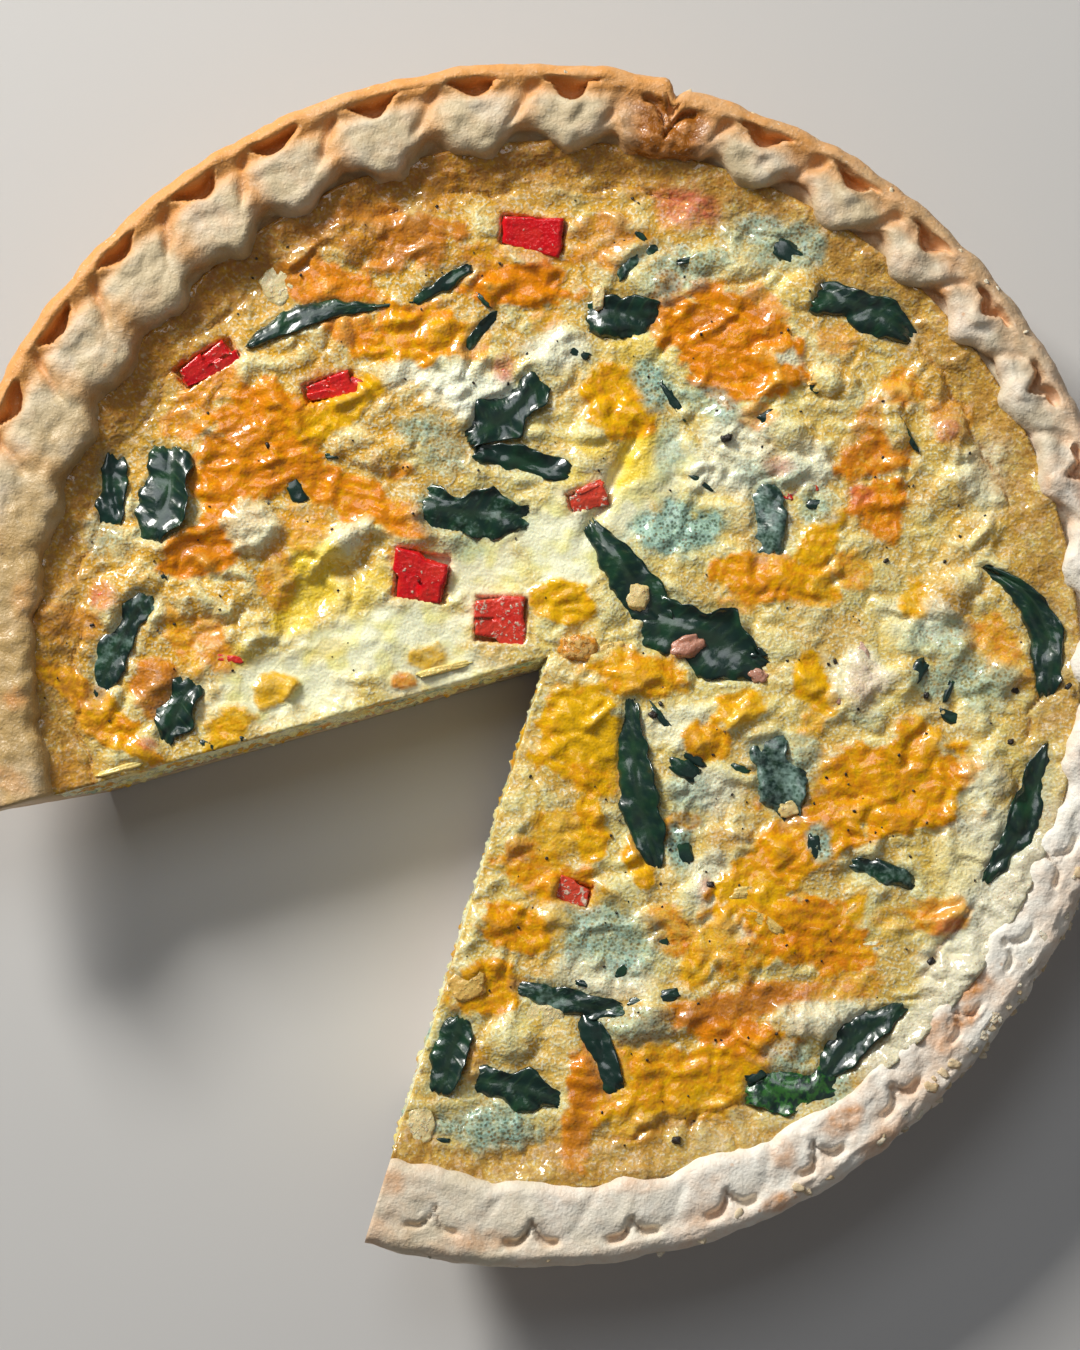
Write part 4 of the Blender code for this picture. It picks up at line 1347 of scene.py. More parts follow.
@dataclass
class Crust:
    """The pastry shell with its crimped lip, as one closed solid."""

    columns: int = 836
    wall_rows: int = 20
    top_rows: int = 38

    def crimp(self, angle: np.ndarray) -> tuple[np.ndarray, np.ndarray]:
        """The nearest crimp at each angle.

        Args:
            angle: Angles in radians.

        Returns:
            How far the angle is from the crimp's middle, as a share of the distance to its
            neighbour, and the crimp's depth.
        """
        middles, depths = np.array(CRIMPS).T
        degrees = (np.degrees(angle) + 106.0) % 360.0 - 106.0
        right = np.clip(np.searchsorted(middles, degrees), 1, len(middles) - 1)
        low, high = middles[right - 1], middles[right]
        share = (degrees - low) / (high - low)
        near_low = share < 0.5
        off = np.where(near_low, share, share - 1.0)
        depth = blend(depths[right - 1], depths[right], smooth(0.42, 0.58, share))
        return off, depth

    def build(self, material: bpy.types.Material) -> bpy.types.Object:
        """Builds the shell.

        Args:
            material: Its finish.

        Returns:
            The shell, closed at both cuts.
        """
        noise = Noise(41)
        way = SLICE.fan(self.columns)
        x, y = SLICE.place(way, SLICE.reach(way, np.full(self.columns, 112.0)))
        angle = np.arctan2(y, x)
        angle = np.where(angle < way[0] - 0.05, angle + 2 * math.pi, angle)
        radius, height, kind = self.profile(angle, noise)
        rows = len(radius)
        distance = np.array([SLICE.reach(way, r) for r in radius])
        floor_rows = 6
        share = np.linspace(0.0, 1.0, floor_rows)
        distance[:floor_rows] = share[:, None] * distance[floor_rows - 1]
        distance[-floor_rows:] = share[::-1, None] * distance[-floor_rows]
        x, y = SLICE.place(way[None, :], distance)
        grid = np.stack([x, y, height], axis=-1)
        grid = self.roughen(grid, kind, angle, noise)
        number = np.arange(rows * self.columns).reshape(rows, self.columns)
        number[0, :] = 0
        number[-1, :] = number[-1, 0]
        faces = quads_of(number).reshape(rows - 1, -1, 4)
        inner = faces[1:-1].reshape(-1, 4)
        first = faces[0][:, [0, 2, 3]]
        last = faces[-1][:, [0, 1, 2]]
        caps = [number[:, 0][None, :], number[:, -1][None, ::-1]]
        keep = np.ones(rows * self.columns, dtype=bool)
        keep[1:self.columns] = False
        keep[(rows - 1) * self.columns + 1:] = False
        fresh = np.cumsum(keep) - 1
        points = grid.reshape(-1, 3)[keep]
        fields = {name: value.ravel()[keep] for name, value in self.fields(grid, kind, angle).items()}
        blocks = [fresh[inner], fresh[first], fresh[last]] + [fresh[cap] for cap in caps]
        return make_mesh("pastry_shell", points, blocks, fields, material)

    def profile(self, angle: np.ndarray, noise: Noise) -> tuple[np.ndarray, np.ndarray, np.ndarray]:
        """The section at each column, from under the base, up the outside, and down the inside.

        Args:
            angle: The columns' angles in radians.
            noise: Where its unevenness comes from.

        Returns:
            Radius, height, and which part each point is on: 0 hidden, 1 wall, 2 lip's outside,
            3 lip's top, 4 lip's inside.
        """
        one = np.ones(len(angle))
        ring = flat_points(110.0 * np.cos(angle), 110.0 * np.sin(angle))
        edge = FORM.edge(angle) + 0.35 * noise.layered(ring, 9.0, 3)
        top = FORM.top(angle) - 0.25 + 0.25 * noise.at(ring, 11.0)
        mouth = FORM.mouth_radius(angle)
        off, depth = self.crimp(angle)
        swing = 0.5 - 0.5 * np.cos(2.0 * math.pi * off)
        bottom, left = FORM.near(angle, -80.0, 4.0), FORM.near(angle, 182.0, 3.0)
        push = (3.7 - 2.2 * bottom - 2.6 * left) * np.clip(depth + 0.2, 0.4, 1.1)
        push = push * swing * (1.0 + 0.35 * noise.at(ring, 17.0))
        inner = mouth + 1.2 + push + 0.8 * noise.layered(ring, 6.0, 2)
        rows: list[tuple[np.ndarray, np.ndarray, int]] = []
        for share in np.linspace(0.0, 1.0, 6):
            rows.append((blend(1.0, 87.0, share) * one, 0.0 * one, 0))
        for radius, height in ((90.0, 0.0), (91.2, 0.35), (92.4, 1.3)):
            rows.append((radius * one, height * one, 1))
        for share in np.linspace(0.08, 1.0, self.wall_rows):
            rows.append((blend(92.5, 111.0, share) * one, blend(1.5, 26.0, share) * one, 1))
        for share in np.linspace(0.15, 0.9, 7):
            a, b, c = (1 - share) ** 2, 2 * share * (1 - share), share**2
            radius = a * 111.0 + b * (edge - 0.4) + c * edge
            rows.append((radius, a * 26.0 + b * (top - 7.6) + c * (top - 4.0), 2))
        for turn in np.radians(np.linspace(0.0, 82.0, 9)):
            rows.append((edge - 3.0 * (1.0 - math.cos(turn)), top - 4.0 + 4.0 * math.sin(turn), 2))
        crest = edge - 3.0
        pressed = np.clip(depth, 0.0, 1.0)
        length = 0.14 + 0.10 * FORM.near(angle, 130.0, 0.5) + 0.05 * noise.at(ring + 9.0, 15.0)
        spread = np.clip(np.abs(off) / length, 0.0, 1.0)
        wing = blend(1.0 - (1.0 - spread) ** 2.1, spread**1.7, pressed**2)
        cusp = blend(11.6, 6.4, pressed) + 0.9 * noise.at(ring + 5.0, 11.0)
        wall = edge - blend(cusp, blend(7.2, 3.6, pressed), wing)
        for share in np.linspace(0.0, 1.0, self.top_rows):
            radius = blend(crest, inner, share)
            lip = self.lip_height(radius, edge, inner, wall, depth, off, angle)
            rows.append((radius, top + lip, 3))
        drop = rows[-1][1]
        for share in np.linspace(0.1, 1.0, 9):
            radius = inner - (inner - mouth) * share**1.4 - 0.5 * math.sin(math.pi * share)
            rows.append((radius, blend(drop, 25.6, share), 4))
        for share in np.linspace(0.2, 1.0, 5):
            rows.append((blend(mouth, 88.0 * one, share), blend(25.6, 4.5, share) * one, 0))
        for share in np.linspace(1.0, 0.0, 6):
            rows.append((blend(1.0, 87.0, share) * one, 4.5 * one, 0))
        kind = np.repeat(np.array([row[2] for row in rows])[:, None], len(angle), axis=1)
        return np.array([row[0] for row in rows]), np.array([row[1] for row in rows]), kind

    def lip_height(self, radius: np.ndarray, edge: np.ndarray, inner: np.ndarray, wall: np.ndarray,
                   depth: np.ndarray, off: np.ndarray, angle: np.ndarray) -> np.ndarray:
        """Height of the lip's top relative to its crest.

        Args:
            radius: Where the point is.
            edge: The lip's outer radius.
            inner: Its inner radius.
            wall: Radius of the rope's outer face, where the pressed pocket begins.
            depth: How deep the crimp is pressed.
            off: How far the point is from the crimp's middle.
            angle: The column's angle.

        Returns:
            Heights relative to the crest.
        """
        inward, behind = edge - radius, wall - radius
        round_in = np.clip((radius - inner) / 3.6, 0.0, 1.0)
        fall = 3.6 - 3.0 * FORM.near(angle, -40.0, 8.0)
        shoulder = -fall * (1.0 - np.sqrt(1.0 - (1.0 - round_in) ** 2))
        pressed = np.clip(depth, 0.0, 1.0)
        groove = -1.0 * np.exp(-(((inward - 5.6) / 1.7) ** 2)) * pressed
        bead = 0.9 * np.exp(-(((behind - 2.1) / 1.5) ** 2)) * np.exp(-((off / 0.14) ** 2)) * depth
        crease_at = (np.mod(off, 1.0) - 0.36 - 0.035 * behind) / 0.065
        crease = -1.5 * np.exp(-(crease_at**2)) * smooth(-1.0, 1.5, behind) * smooth(11.0, 7.0, behind)
        band = blend(1.8, 5.5, pressed**2)
        sunk = blend(0.9, 4.4, pressed) * smooth(0.5, -0.6, behind) * smooth(band, 0.4 * band, -behind)
        sunk = sunk * smooth(2.4, 4.2, inward) * smooth(0.30, 0.22, np.abs(off))
        height = shoulder + groove + bead + crease * pressed**1.5 - sunk
        past = np.degrees(angle) - FORM.break_side
        gash = 2.6 * np.exp(-((past / 0.5) ** 2)) * smooth(6.0, 3.0, inward)
        basin = 0.9 * np.exp(-((past / 3.6) ** 2)) * smooth(4.0, 7.0, inward)
        return height - gash - basin

    def roughen(self, grid: np.ndarray, kind: np.ndarray, angle: np.ndarray,
                noise: Noise) -> np.ndarray:
        """Moves the surface in and out: lumps, wrinkles and the flaky torn side.

        Args:
            grid: The points by row and column.
            kind: Which part each row is on.
            angle: The columns' angles.
            noise: Where the unevenness comes from.

        Returns:
            The moved points.
        """
        along = np.gradient(grid, axis=1)
        across = np.gradient(grid, axis=0)
        normal = np.cross(along, across)
        normal /= np.maximum(np.linalg.norm(normal, axis=-1, keepdims=True), 1e-9)
        points = grid.reshape(-1, 3)
        even = 1.0 - 0.7 * np.tile(FORM.near(angle, -75.0, 2.0), len(grid))
        lumps = (0.40 * noise.layered(points, 7.5, 2) + 0.10 * noise.at(points, 1.8)) * even
        small = 0.50 * noise.layered(points, 4.6, 2) * even
        strata = noise.layered(points * np.array([0.5, 0.5, 3.0]), 3.2, 3)
        torn = np.clip(FORM.near(angle, FORM.flat_side, 10.0) * 1.15, 0.0, 1.0)[None, :]
        shape = kind.shape
        amount = np.where(kind == 0, 0.0, 1.0)
        top = np.isin(kind, (3, 4)) * 1.0
        move = (lumps.reshape(shape) + small.reshape(shape) * top) * amount
        outside = (kind == 2) * 1.0 + (kind == 1) * 0.35
        move += strata.reshape(shape) * outside * (0.2 + 0.6 * torn)
        ripple = smooth(0.15, 0.4, noise.layered(points * 0.8, 4.2, 2)).reshape(shape)
        move -= 0.3 * ripple * torn * (kind == 3)
        moved = grid - normal * move[..., None]
        moved[..., 2] = np.clip(moved[..., 2], 0.0, FORM.rim_height)
        moved[kind == 0] = grid[kind == 0]
        return moved

    def fields(self, grid: np.ndarray, kind: np.ndarray, angle: np.ndarray) -> dict[str, np.ndarray]:
        """What the pastry is at each place, with painted light and shade laid into its colours.

        Args:
            grid: The points by row and column.
            kind: Which part each row is on.
            angle: The columns' angles.

        Returns:
            Shares from 0 to 1 by name.
        """
        noise = Noise(53)
        shape = kind.shape
        points = grid.reshape(-1, 3)
        radius = np.hypot(grid[..., 0], grid[..., 1])
        edge = FORM.edge(angle)[None, :]
        top = FORM.top(angle)[None, :]
        sunny = 0.5 + 0.5 * np.cos(angle - math.radians(128.0))[None, :]
        inward = edge - radius
        ridge = smooth(8.5, 4.0, inward) * (grid[..., 2] > 26.0)
        patchy = noise.layered(points, 12.0, 3).reshape(shape)
        between = np.exp(-(((np.mod(self.crimp(angle)[0], 1.0) - 0.5) / 0.15) ** 2))[None, :]
        # The ridge browns, and far more on the side toward the key light: partly painted light.
        golden = ridge * (0.12 + 0.95 * sunny**1.3) + 0.05 + 0.25 * patchy
        # Warmer colour in the seams between the rope's lobes, stronger toward the key light: painted
        # shade and glow in the creases.
        golden += 0.75 * between * (sunny - 0.15) * smooth(5.0, 8.0, inward) * (kind >= 3)
        golden = np.where(kind == 1, 0.42 + 0.3 * patchy, golden)
        drop = top - grid[..., 2]
        # Brown in the pressed pockets and sunken parts of the lip, far stronger toward the key light:
        # browning, with painted shade and bounce light.
        pocket = smooth(1.0, 3.6, drop) * smooth(3.0, 4.6, inward) * smooth(13.0, 9.5, inward)
        pocket = np.maximum(pocket, 0.4 * smooth(0.9, 1.8, drop) * smooth(13.0, 10.0, inward))
        pocket = pocket * (kind == 3) * (0.15 + 0.85 * sunny**1.5)
        ragged = 0.35 * noise.layered(points, 5.0, 3)
        stain = painted(STAINS, points, ragged, 0.5).reshape(shape) * (kind >= 2)
        # Skin colour over the lip's left side, where egg crept over it, partly as painted shade there,
        # and in the lip's sunken parts as painted shade.
        creep = FORM.near(angle, 183.0, 6.0)[None, :] * smooth(9.0, 13.5, inward)
        sunken = smooth(2.2, 4.6, drop) * (kind >= 3) * smooth(11.0, 14.0, inward)
        creep = np.maximum(creep, 0.5 * sunken)
        past = np.degrees(angle)[None, :] - FORM.break_side
        spill = np.exp(-((past / 4.2) ** 4)) * smooth(3.6, 5.2, inward + 4.0 * ragged.reshape(shape))
        return {
            "golden": np.clip(golden, 0.0, 1.0), "pocket": pocket, "stain": stain,
            "skin": np.clip(creep + 0.3 * patchy * (creep > 0.05), 0.0, 1.0) * (kind >= 3),
            "spill": spill * (kind >= 3),
            # Whiter toward the lower right: flaky pastry there, and partly painted light.
            "flour_and_painted_light": np.clip(FORM.near(angle, -35.0, 1.2)[None, :] + 0.25 * patchy, 0.0, 1.0),
        }


# Toppings ------------------------------------------------------------------------------------------


@dataclass
class Toppings:
    """Everything that lies on the baked top."""

    leaf: bpy.types.Material
    pepper: bpy.types.Material
    thickness: float = 0.45
    ceiling: float = 34.6
    steps_along: int = 40
    steps_across: int = 14

    def surface(self, x: np.ndarray, y: np.ndarray) -> np.ndarray:
        """Height that larger toppings lie at, without the small bumps."""
        points = flat_points(np.ravel(x), np.ravel(y))
        height = TOP.swell(points[:, 0], points[:, 1]) + TOP.lumps(points[:, 0], points[:, 1])
        mound = np.zeros(len(points))
        for patch in MOUNDS:
            dome = np.sqrt(np.clip(1.0 - patch.distance(points) ** 2, 0.0, 1.0))
            mound = np.maximum(mound, patch.extra * dome)
        return (height + 0.3 + 0.5 * mound).reshape(np.shape(x))

    def build_leaf(self, number: int, leaf: Leaf) -> bpy.types.Object:
        """One wrinkled, curled leaf laid on the filling.

        Args:
            number: Its place in the list.
            leaf: Its sizes.

        Returns:
            The leaf as a closed thin solid.
        """
        noise = Noise(100 + number)
        share = np.linspace(0.0, 1.0, self.steps_along)[:, None]
        across = np.linspace(-1.0, 1.0, self.steps_across)[None, :]
        along, side = leaf.axes()
        none = 0.0 * share * across
        edge_in = flat_points(share * leaf.length + none, 3.0 * np.sign(across) + none)
        ragged = 0.24 * noise.layered(edge_in, 4.5, 3).reshape(self.steps_along, self.steps_across)
        half = 0.5 * leaf.width * leaf_width(share, leaf.form) * (1.0 + ragged)
        end_in = flat_points(across * leaf.width + none, 9.0 * np.round(share) + none)
        push = noise.layered(end_in, 3.0, 2).reshape(self.steps_along, self.steps_across)
        reach = leaf.length * (share - 0.5) + 1.1 * push * (2.0 * share - 1.0) ** 3
        x = leaf.x + along[0] * reach + side[0] * (leaf.spine(share) + across * half)
        y = leaf.y + along[1] * reach + side[1] * (leaf.spine(share) + across * half)
        shape = x.shape
        local = flat_points(reach / 2.0 + none, across * half, number * 7.0)
        wrinkles = 1.5 * np.abs(noise.layered(local, 6.0, 2, 0.35)).reshape(shape) - 0.4
        pucker = 0.16 * noise.layered(local * np.array([2.0, 1.0, 1.0]), 1.9, 2).reshape(shape)
        lifted = np.clip(across, 0.0, 1.0) ** 2 * leaf.curl * (0.4 + 0.6 * np.sin(math.pi * share))
        buried = noise.layered(edge_in, 3.0, 2).reshape(shape)
        sunk = -(0.5 + 0.9 * buried) * np.abs(across) ** 3 - 0.3 * np.clip(-across, 0.0, 1.0) ** 3
        ends = -(0.9 + 0.6 * buried) * np.abs(2.0 * share - 1.0) ** 5
        z = self.surface(x, y) + leaf.lift + wrinkles + pucker + lifted + sunk + ends
        curl_in = -0.22 * half * np.clip(across, 0.0, 1.0) ** 3 * min(1.0, leaf.curl / 2.0)
        x, y = x + side[0] * curl_in, y + side[1] * curl_in
        upper = np.stack([x, y, np.minimum(z, self.ceiling)], axis=-1)
        lower = upper - np.array([0.0, 0.0, self.thickness])
        points, quads = sheet_mesh(upper, lower)
        spine = np.exp(-((across / 0.07) ** 2)) * np.ones(shape)
        rib_phase = share * leaf.length / 2.6 - np.abs(across) * 0.9
        ribs = np.exp(-(((rib_phase - np.round(rib_phase)) / 0.09) ** 2)) * (np.abs(across) < 0.9)
        vein = np.maximum(spine, 0.5 * ribs) * (leaf.form is not LeafForm.STRIP)
        fields = {
            "vein": np.tile(vein.ravel(), 2), "froth": np.full(len(points), leaf.froth),
            "fresh": np.full(len(points), leaf.fresh),
        }
        piece = make_mesh(f"leaf_{number:02d}", points, [quads], fields, self.leaf)
        settle(piece, "spinach", f"spinach_{number:02d}")
        return piece

    def build_die(self, number: int, die: Die) -> bpy.types.Object:
        """One cut piece of pepper, sunk in the filling."""
        noise = Noise(200 + number)
        level = float(self.surface(np.array([die.x]), np.array([die.y]))[0]) + 0.3
        points, quads = lump(noise, (0.0, 0.0, 0.0), (die.length, die.width, 5.5), 0.0, 0.05, 0.86, 14)
        points[:, 1] *= 1.0 + die.taper * points[:, 0] / die.length
        corners = np.sign(points) * np.array([7.0, 7.0, 0.0])
        points[:, 0] += 0.10 * die.length * noise.at(corners + points * 0.1, 5.0)
        points[:, 1] += 0.12 * die.width * noise.at(corners + points * 0.1 + 40.0, 5.0)
        dish = 0.35 * (points[:, 0] / die.length * 2.0) ** 2 * (points[:, 2] > 0)
        points[:, 2] += dish - 0.12 * noise.layered(points, 2.0, 2)
        tilt, turn = math.radians(die.tilt), math.radians(die.heading)
        y = points[:, 1] * math.cos(tilt) - points[:, 2] * math.sin(tilt)
        z = points[:, 1] * math.sin(tilt) + points[:, 2] * math.cos(tilt)
        flesh = smooth(0.5, -1.2, points[:, 2]) * 0.5 + die.pale
        placed = np.stack([
            die.x + points[:, 0] * math.cos(turn) - y * math.sin(turn),
            die.y + points[:, 0] * math.sin(turn) + y * math.cos(turn),
            level + die.proud - 2.75 + z], axis=-1)
        piece = make_mesh(f"pepper_die_{number}", placed, [quads], {"tone": flesh}, self.pepper)
        settle(piece, "red_pepper", f"pepper_{number}")
        return piece


def settle(piece: bpy.types.Object, slot: str, *nodes: str) -> None:
    """Ties a piece to the root body and hides the model's nodes that it stands for."""
    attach(piece, "root")
    if nodes:
        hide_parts(*nodes)
    faces = len(piece.data.polygons)
    LOG.info("%s: %d faces, stands for %s", piece.name, faces, ", ".join(nodes) or "no node")


@dataclass(frozen=True)
class SmallThing:
    """One small solid on the top: place, sizes, heading, how far it stands out, and its tone."""

    x: float
    y: float
    length: float
    width: float
    height: float
    heading: float = 0.0
    proud: float = 0.8
    tone: float = 0.3


def things(*rows: tuple) -> tuple[SmallThing, ...]:
    """Small things from rows of their sizes."""
    return tuple(SmallThing(*row) for row in rows)


LEAF_BITS = things(
    (-48.5, 35, 5.5, 3.5, 1.2, -60), (33.5, 82.5, 8.5, 1.2, .9, 12), (41.5, 83.5, 4, 3, 1, 10),
    (52, 84, 7, 4.5, 1.2, -30), (58, 57.5, 5.5, 2.4, 1.2, 75), (76, 47, 9, 1.4, 1, -60),
    (8, 64, 8, 2.2, 1, -20), (28.5, 54, 9, 2, .9, -60), (48, 50, 4, 2.5, 1, 20),
    (58, 32, 4, 2.5, 1, 0), (31, -22, 7, 3.4, 1.1, -30), (42, -22, 4.5, 2, 1, -15),
    (78, -2.5, 6, 3, 1.1, 60), (86, -12, 9, 2.4, 1.1, -25), (84.5, -6, 5, 1.4, 1, 70),
    (57, -38, 3, 6, 1.1, 0), (19, -47, 5, 2, .9, -60), (18, -63, 4, 2, .9, 45),
    (26, -57, 3.4, 2, .9, 0), (31, -38, 7, 3, 1, -80), (34, 37, 6, 1.2, .8, -35),
    (22, 87.5, 4, 1.6, .9, -50), (-66, -17, 4, 1.4, .9, -30), (27, -68, 6, 2.4, 1, 15),
    (-41, 42, 3, 1.4, .8, 0), (45, -84, 5, 3, 1, 30), (-18, -97, 3, 1, .7, 0),
    (12, -66, 7, 1.6, .9, -15), (46, 1.5, 3.5, 2, .8, 20), (-60, -16, 3, 1.4, .8, 10),
    (-76, 18, 4, 1.6, .8, -50), (-10, 74, 4, 1.4, .8, -40), (-29, 73, 10, .9, .8, 5),
    (26.5, -12, 9, 1.6, 1, -52), (31.5, -19, 8, 2, 1, -32), (24, -69, 10, 2.6, 1, 8),
)
PEPPER_BITS = things(
    (-86.5, 13, 4, 3, 1.4, 30, .5, .6), (-62, 0.5, 7, 1.6, 1.6, -8, .5, .2),
    (33, 93, 5, 3, 1.2, 20, .1, .5), (67, 34, 3, 2.4, 1.2, 40, .4, .8),
    (102, -35.8, 1.8, 3, 1.2, -10, .6, .3), (82, -55, 5, 1.6, 1.2, 20, .5, .2),
    (-77.5, -16.5, 2.6, 1.6, 1.2, 0, .5, .2), (52, 34, 3, 2, 1, -20, .4, .2),
    (57.5, 35.5, 2, 1.6, 1, 0, .4, .3), (-6, 60, 3, 2, 1, 30, .3, .9),
    (35, -47, 1.4, 3, 1, 0, .4, .2), (84.5, 47, 2.4, 1.6, 1, 0, .4, .3),
    (50.5, 40.5, 4, 1.4, 1, 10, .3, .6), (11.5, 35.5, 6, 1.4, 1, 25, .8, .6),
    (-36, 57, 3, 2, 1, -20, .8, .1),
)
ONION = things(
    (-52, 77, 8.5, 7, 1.8, -50, .8, .45), (-22.5, -94, 6, 8.5, 1.8, 5, .7, .45),
    (1.5, -72.5, 11, 7, 1.4, -15, .3, .5), (21.5, 13, 4.6, 5.6, 2.2, -10, 1.6, .2),
    (68.5, -58.5, 6, 3, 1, 0, .4, .9), (13.5, 74.5, 2.5, 5.5, 1.6, -5, 1.8, .4),
    (34.5, -42, 2.4, 3.6, 1.2, 0, .7, .8), (52, -30, 4.4, 3.4, 1.6, 10, .9, .1),
    (43, 76.5, 4, 1, .8, 5, .7, .9),
)
HAM_BITS = things(
    (62, -7.5, 3, 3.6, 2, 30, .6, .2), (67, -1, 5, 9, 1.8, 15, .5, .8),
    (31.5, 3, 8, 4.6, 3.2, 20, 2.2, .1), (66, -8, 6, 3, 1.6, 60, .4, .9),
    (51, 41.5, 5, 2.2, 1.4, 0, .3, .7), (66.5, 36, 4, 3, 1.4, 50, .4, .8),
    (46, -3, 4, 3, 1.6, -30, 1.2, .2), (53.5, 34.5, 3, 2, 1.3, 0, .4, .1),
)
CHEESE_BITS = things(
    (9.3, 2.6, 8.5, 5.4, 4.2, -2, 2.2, .95), (-18, -1.5, 12, 1.6, 1.6, 13, 1.0, .0),
    (16, 2, 6, 4, 2, 20, .6, .4), (-83.5, -22.0, 11, 1.6, 1.5, 16, .9, .0),
    (-13, -66, 8, 6, 2, 20, 1.4, .4), (64, -52, 8, 2.2, 1.2, 55, 1, .5),
    (58, 57, 4, 1, .9, 10, 1.3, .6), (44, -47, 9, 2.6, 1.3, 8, 1, .3),
    (47, -53, 9, 2.4, 1.3, -32, 1, .3),
)


LARGE_GRAINS = (
    (39.5, 45.5, 2.6), (98, -6, 1.9), (29, -97, 2.0), (-10, -107, 1.2), (-54, 44, 1.3),
    (108.5, -5.5, 1.8), (-89.5, 7.2, 1.0), (80, -7, 1.5), (24.5, -11, 1.9), (80.5, -61, 1.9),
    (36, -45.5, 1.7), (97, -16.5, 1.3), (4, 53, 1.2), (61.5, 0, 1.2), (72, 20.5, 1.2), (26, -8.8, 1.2),
)


@dataclass
class Scatter:
    """The small things: bits of leaf, pepper, onion, ham and cheese, pepper grains and crumbs."""

    surface: object
    fine_grains: int = 230
    crumb_count: int = 210
    crumb_reach: float = 121.8
    crumb_top: float = 34.3

    def gather(self, name: str, slot: str, group: tuple[SmallThing, ...], material: bpy.types.Material,
               rough: float, square: float, sides: int) -> bpy.types.Object:
        """Joins one kind of small thing into one piece.

        Args:
            name: The piece's name.
            slot: Not used.
            group: The things.
            material: Their finish.
            rough: How uneven they are.
            square: 0 for round ones, up to 1 for blocks.
            sides: Points along each side of one.

        Returns:
            The piece.
        """
        noise = Noise(len(name))
        bits = Bits()
        for thing in group:
            level = float(self.surface(np.array([thing.x]), np.array([thing.y]))[0])
            centre = (thing.x, thing.y, level + thing.proud - thing.height / 2.0)
            size = (thing.length, thing.width, thing.height)
            points, quads = lump(noise, centre, size, thing.heading, rough, square, sides)
            bits.add(points, quads, thing.tone)
        piece = bits.join(name, material)
        settle(piece, slot)
        return piece

    def grains(self, material: bpy.types.Material) -> bpy.types.Object:
        """Coarse ground peppercorn over the top: a few large grains and many fine ones."""
        draw = np.random.default_rng(71)
        noise = Noise(72)
        placed = list(LARGE_GRAINS)
        for _ in range(self.fine_grains):
            angle, radius = draw.uniform(-1.8, 3.35), 100.0 * math.sqrt(draw.uniform(0.0, 1.0))
            size = draw.uniform(0.28, 0.75)
            placed.append((radius * math.cos(angle), radius * math.sin(angle), size))
        bits = Bits()
        for x, y, size in placed:
            here = np.array([x]), np.array([y])
            part = TOP.fields(*here)
            level = float(TOP.height(*here, part)[0])
            if part["leaf"][0] > 0.2 or part["die"][0] > 0.2 or abs(x) < 12 and abs(y) < 8:
                continue
            shape = (size, size * draw.uniform(0.6, 0.9), size * 0.7)
            if math.hypot(x, y) > 104.0:
                level = float(FORM.top(np.array(math.atan2(y, x)))) - 1.6
            spot = (x, y, level + 0.12 * size)
            points, quads = lump(noise, spot, shape, draw.uniform(0, 180), 0.4, 0.3, 4)
            bits.add(points, quads, draw.uniform(0.0, 0.5))
        piece = bits.join("peppercorn_grains", material)
        settle(piece, "spinach")
        return piece

    def crumbs(self, material: bpy.types.Material) -> bpy.types.Object:
        """Pastry flakes and crumbs that cling to the lip's torn side and outer face."""
        draw = np.random.default_rng(83)
        noise = Noise(84)
        bits = Bits()
        for _ in range(self.crumb_count):
            torn = draw.uniform() < 0.6
            angle = math.radians(draw.normal(-38.0, 14.0) if torn else draw.uniform(-104.0, 190.0))
            here = np.array([angle])
            edge, top = float(FORM.edge(here)[0]), float(FORM.top(here)[0])
            inward = draw.uniform(-0.2, 3.5) if torn else draw.uniform(0.1, 2.2)
            radius = min(edge - inward, self.crumb_reach)
            level = top - 0.3 - 3.6 * max(0.0, 1.0 - inward / 3.0) ** 2
            if torn and draw.uniform() < 0.5:
                radius, level = edge - draw.uniform(0.3, 1.6), top - draw.uniform(3.0, 7.0)
            size = draw.uniform(0.6, 3.2) if torn else draw.uniform(0.4, 1.5)
            spot = (radius * math.cos(angle), radius * math.sin(angle), min(level, self.crumb_top))
            shape = (size, size * draw.uniform(0.5, 0.8), size * draw.uniform(0.25, 0.5))
            points, quads = lump(noise, spot, shape, draw.uniform(0, 180), 0.35, 0.3, 5)
            bits.add(points, quads, draw.uniform(0.0, 1.0))
        piece = bits.join("pastry_crumbs", material)
        settle(piece, "pastry")
        return piece


# Studio --------------------------------------------------------------------------------------------


